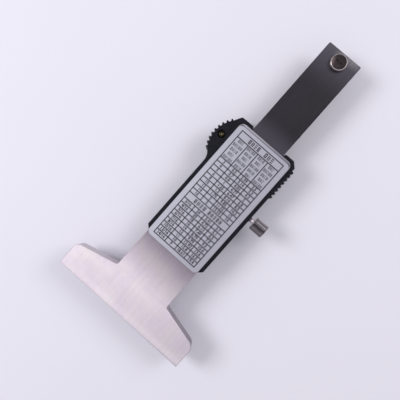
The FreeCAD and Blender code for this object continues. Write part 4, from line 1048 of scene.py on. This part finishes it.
    def figures(self):
        """The rows of both blocks, from the far end: size, pitch, core and drill."""
        metric = []
        for size, pitch in zip(self.sizes, self.pitches):
            core = round(size - self.metric_core * pitch, 2)
            metric.append((size, pitch, core, round(size - pitch, 1)))
        inch = []
        for parts, turns in zip(self.sixteenths, self.turns_an_inch):
            size, pitch = parts / 16 * INCH, INCH / turns
            core = round(size - self.inch_core * pitch, 2)
            inch.append(("%d/16" % parts, turns, core, round(size - pitch, 1)))
        return inch, metric

    def print_figures(self, settings, ink):
        """The figures, which are read with the frame's +X upwards."""
        pieces = []
        size, weight = settings.figure_height, settings.figure_weight
        for start, rows in zip(self.blocks, self.figures()):
            for row, values in enumerate(rows):
                x = start + (self.row_count - 0.5 - row) * self.row_pitch
                for value, (left, right) in zip(values, self.column_edges()):
                    centre = Vector((x, (left + right) / 2, self.top)) * MM
                    place = Matrix.Translation(centre) @ Matrix.Rotation(-math.pi / 2, 4, "Z")
                    pieces.append(lettering("figure", str(value), size, weight, place, ink))
        with bpy.context.temp_override(
            active_object=pieces[0], selected_editable_objects=pieces, object=pieces[0]
        ):
            bpy.ops.object.join()
        figures = pieces[0]
        figures.name = "label_figures"
        ride_on(figures, "back_label")


class GAUGE_OT_stage(GaugeOperator):
    """Set the camera, the floor, the even light and the two soft lamps"""

    bl_idname = "gauge.stage"
    bl_label = "Stage"
    floor_reach = 1.5
    # How far each lamp is from the camera's aim: sideways and up in the picture, and along Z.
    lamp_side, lamp_up, lamp_height = 0.4, 0.14, 0.42

    def execute(self, context):
        settings = context.scene.gauge_stage
        self.place_camera(context, settings)
        self.lay_floor(settings)
        self.light_world(context, settings)
        self.hang_lamp(settings, "lamp_left", -self.lamp_side, settings.left_power)
        self.hang_lamp(settings, "lamp_right", self.lamp_side, settings.right_power)
        context.scene.view_settings.view_transform = "Standard"
        return {"FINISHED"}

    def picture_axes(self, settings):
        """The directions right, up and towards the camera in the picture."""
        forward = (Vector(settings.camera_aim) - Vector(settings.camera_place)).normalized()
        hint = Vector((math.cos(settings.camera_up), math.sin(settings.camera_up), 0))
        right = forward.cross(hint).normalized()
        return right, right.cross(forward), -forward

    def place_camera(self, context, settings):
        data = bpy.data.cameras.new("camera")
        data.lens = settings.camera_lens
        data.sensor_width = 36
        data.clip_start = 0.005
        data.dof.use_dof = False
        camera = new_object("camera", data)
        turn = Matrix(self.picture_axes(settings)).transposed().to_4x4()
        camera.matrix_world = Matrix.Translation(settings.camera_place) @ turn
        context.scene.camera = camera

    def lay_floor(self, settings):
        """A pale card under the gauge's lowest point."""
        reach = self.floor_reach
        work = bmesh.new()
        corners = [(-reach, -reach), (reach, -reach), (reach, reach), (-reach, reach)]
        level = CAD_BOX[0].z
        work.faces.new([work.verts.new((x, y, level)) for x, y in corners])
        floor = new_mesh_piece("floor", work)
        card = Surface("floor_card", Roughness=0.9, Specular_IOR_Level=0.2)
        colour = tuple(settings.floor_colour)
        cloud = card.noise(0.02, detail=2.0)
        card.set(Base_Color=card.mix(cloud, tint(colour, 0.985), tint(colour, 1.01)))
        floor.data.materials.append(card.material)

    def light_world(self, context, settings):
        """Even light, which the camera, metal and glass see as the pale background."""
        world = bpy.data.worlds.new("even_light")
        world.use_nodes = True
        context.scene.world = world
        tree = world.node_tree
        pale = tree.nodes["Background"]
        pale.inputs["Color"].default_value = (*settings.floor_colour, 1)
        pale.inputs["Strength"].default_value = 1.0
        even = tree.nodes.new("ShaderNodeBackground")
        even.inputs["Color"].default_value = (1, 1, 1, 1)
        even.inputs["Strength"].default_value = settings.fill
        rays = tree.nodes.new("ShaderNodeLightPath")
        seen = rays.outputs["Is Camera Ray"]
        for name in ("Is Glossy Ray", "Is Transmission Ray"):
            either = tree.nodes.new("ShaderNodeMath")
            either.operation = "MAXIMUM"
            tree.links.new(seen, either.inputs[0])
            tree.links.new(rays.outputs[name], either.inputs[1])
            seen = either.outputs[0]
        choice = tree.nodes.new("ShaderNodeMixShader")
        tree.links.new(seen, choice.inputs[0])
        tree.links.new(even.outputs[0], choice.inputs[1])
        tree.links.new(pale.outputs[0], choice.inputs[2])
        tree.links.new(choice.outputs[0], tree.nodes["World Output"].inputs[0])

    def hang_lamp(self, settings, name, side, power):
        """A soft square lamp to one side of the gauge, as the camera sees it."""
        right, up, _ = self.picture_axes(settings)
        aim = Vector(settings.camera_aim)
        data = bpy.data.lights.new(name, "AREA")
        data.shape = "RECTANGLE"
        data.size = data.size_y = settings.lamp_size
        data.energy = power
        lamp = new_object(name, data)
        lamp.location = aim + right * side + up * self.lamp_up + Vector((0, 0, self.lamp_height))
        lamp.rotation_mode = "QUATERNION"
        lamp.rotation_quaternion = (aim - lamp.location).to_track_quat("-Z", "Y")


OPERATORS = (
    GAUGE_OT_frame,
    GAUGE_OT_beam,
    GAUGE_OT_stop_screw,
    GAUGE_OT_lock_screw,
    GAUGE_OT_mouldings,
    GAUGE_OT_grip_screw,
    GAUGE_OT_buttons,
    GAUGE_OT_display,
    GAUGE_OT_label,
    GAUGE_OT_stage,
)
SETTINGS = {
    "gauge_stage": GaugeStageSettings,
    "gauge_steel": GaugeSteelSettings,
    "gauge_plastic": GaugePlasticSettings,
    "gauge_label": GaugeLabelSettings,
}


class GAUGE_PT_sidebar(bpy.types.Panel):
    """Lists the pieces of the gauge"""

    bl_idname = "GAUGE_PT_sidebar"
    bl_label = "Pit depth gauge"
    bl_space_type = "VIEW_3D"
    bl_region_type = "UI"
    bl_category = "Gauge"

    def draw(self, context):
        for operator in OPERATORS:
            self.layout.operator(operator.bl_idname)


def register():
    for group in SETTINGS.values():
        bpy.utils.register_class(group)
    for name, group in SETTINGS.items():
        setattr(bpy.types.Scene, name, bpy.props.PointerProperty(type=group))
    for operator in OPERATORS:
        bpy.utils.register_class(operator)
    bpy.utils.register_class(GAUGE_PT_sidebar)


def unregister():
    bpy.utils.unregister_class(GAUGE_PT_sidebar)
    for operator in reversed(OPERATORS):
        bpy.utils.unregister_class(operator)
    for name, group in SETTINGS.items():
        delattr(bpy.types.Scene, name)
        bpy.utils.unregister_class(group)


def main():
    """Build every piece."""
    register()
    for operator in OPERATORS:
        family, name = operator.bl_idname.split(".")
        getattr(getattr(bpy.ops, family), name)()


if __name__ == "__main__":
    main()
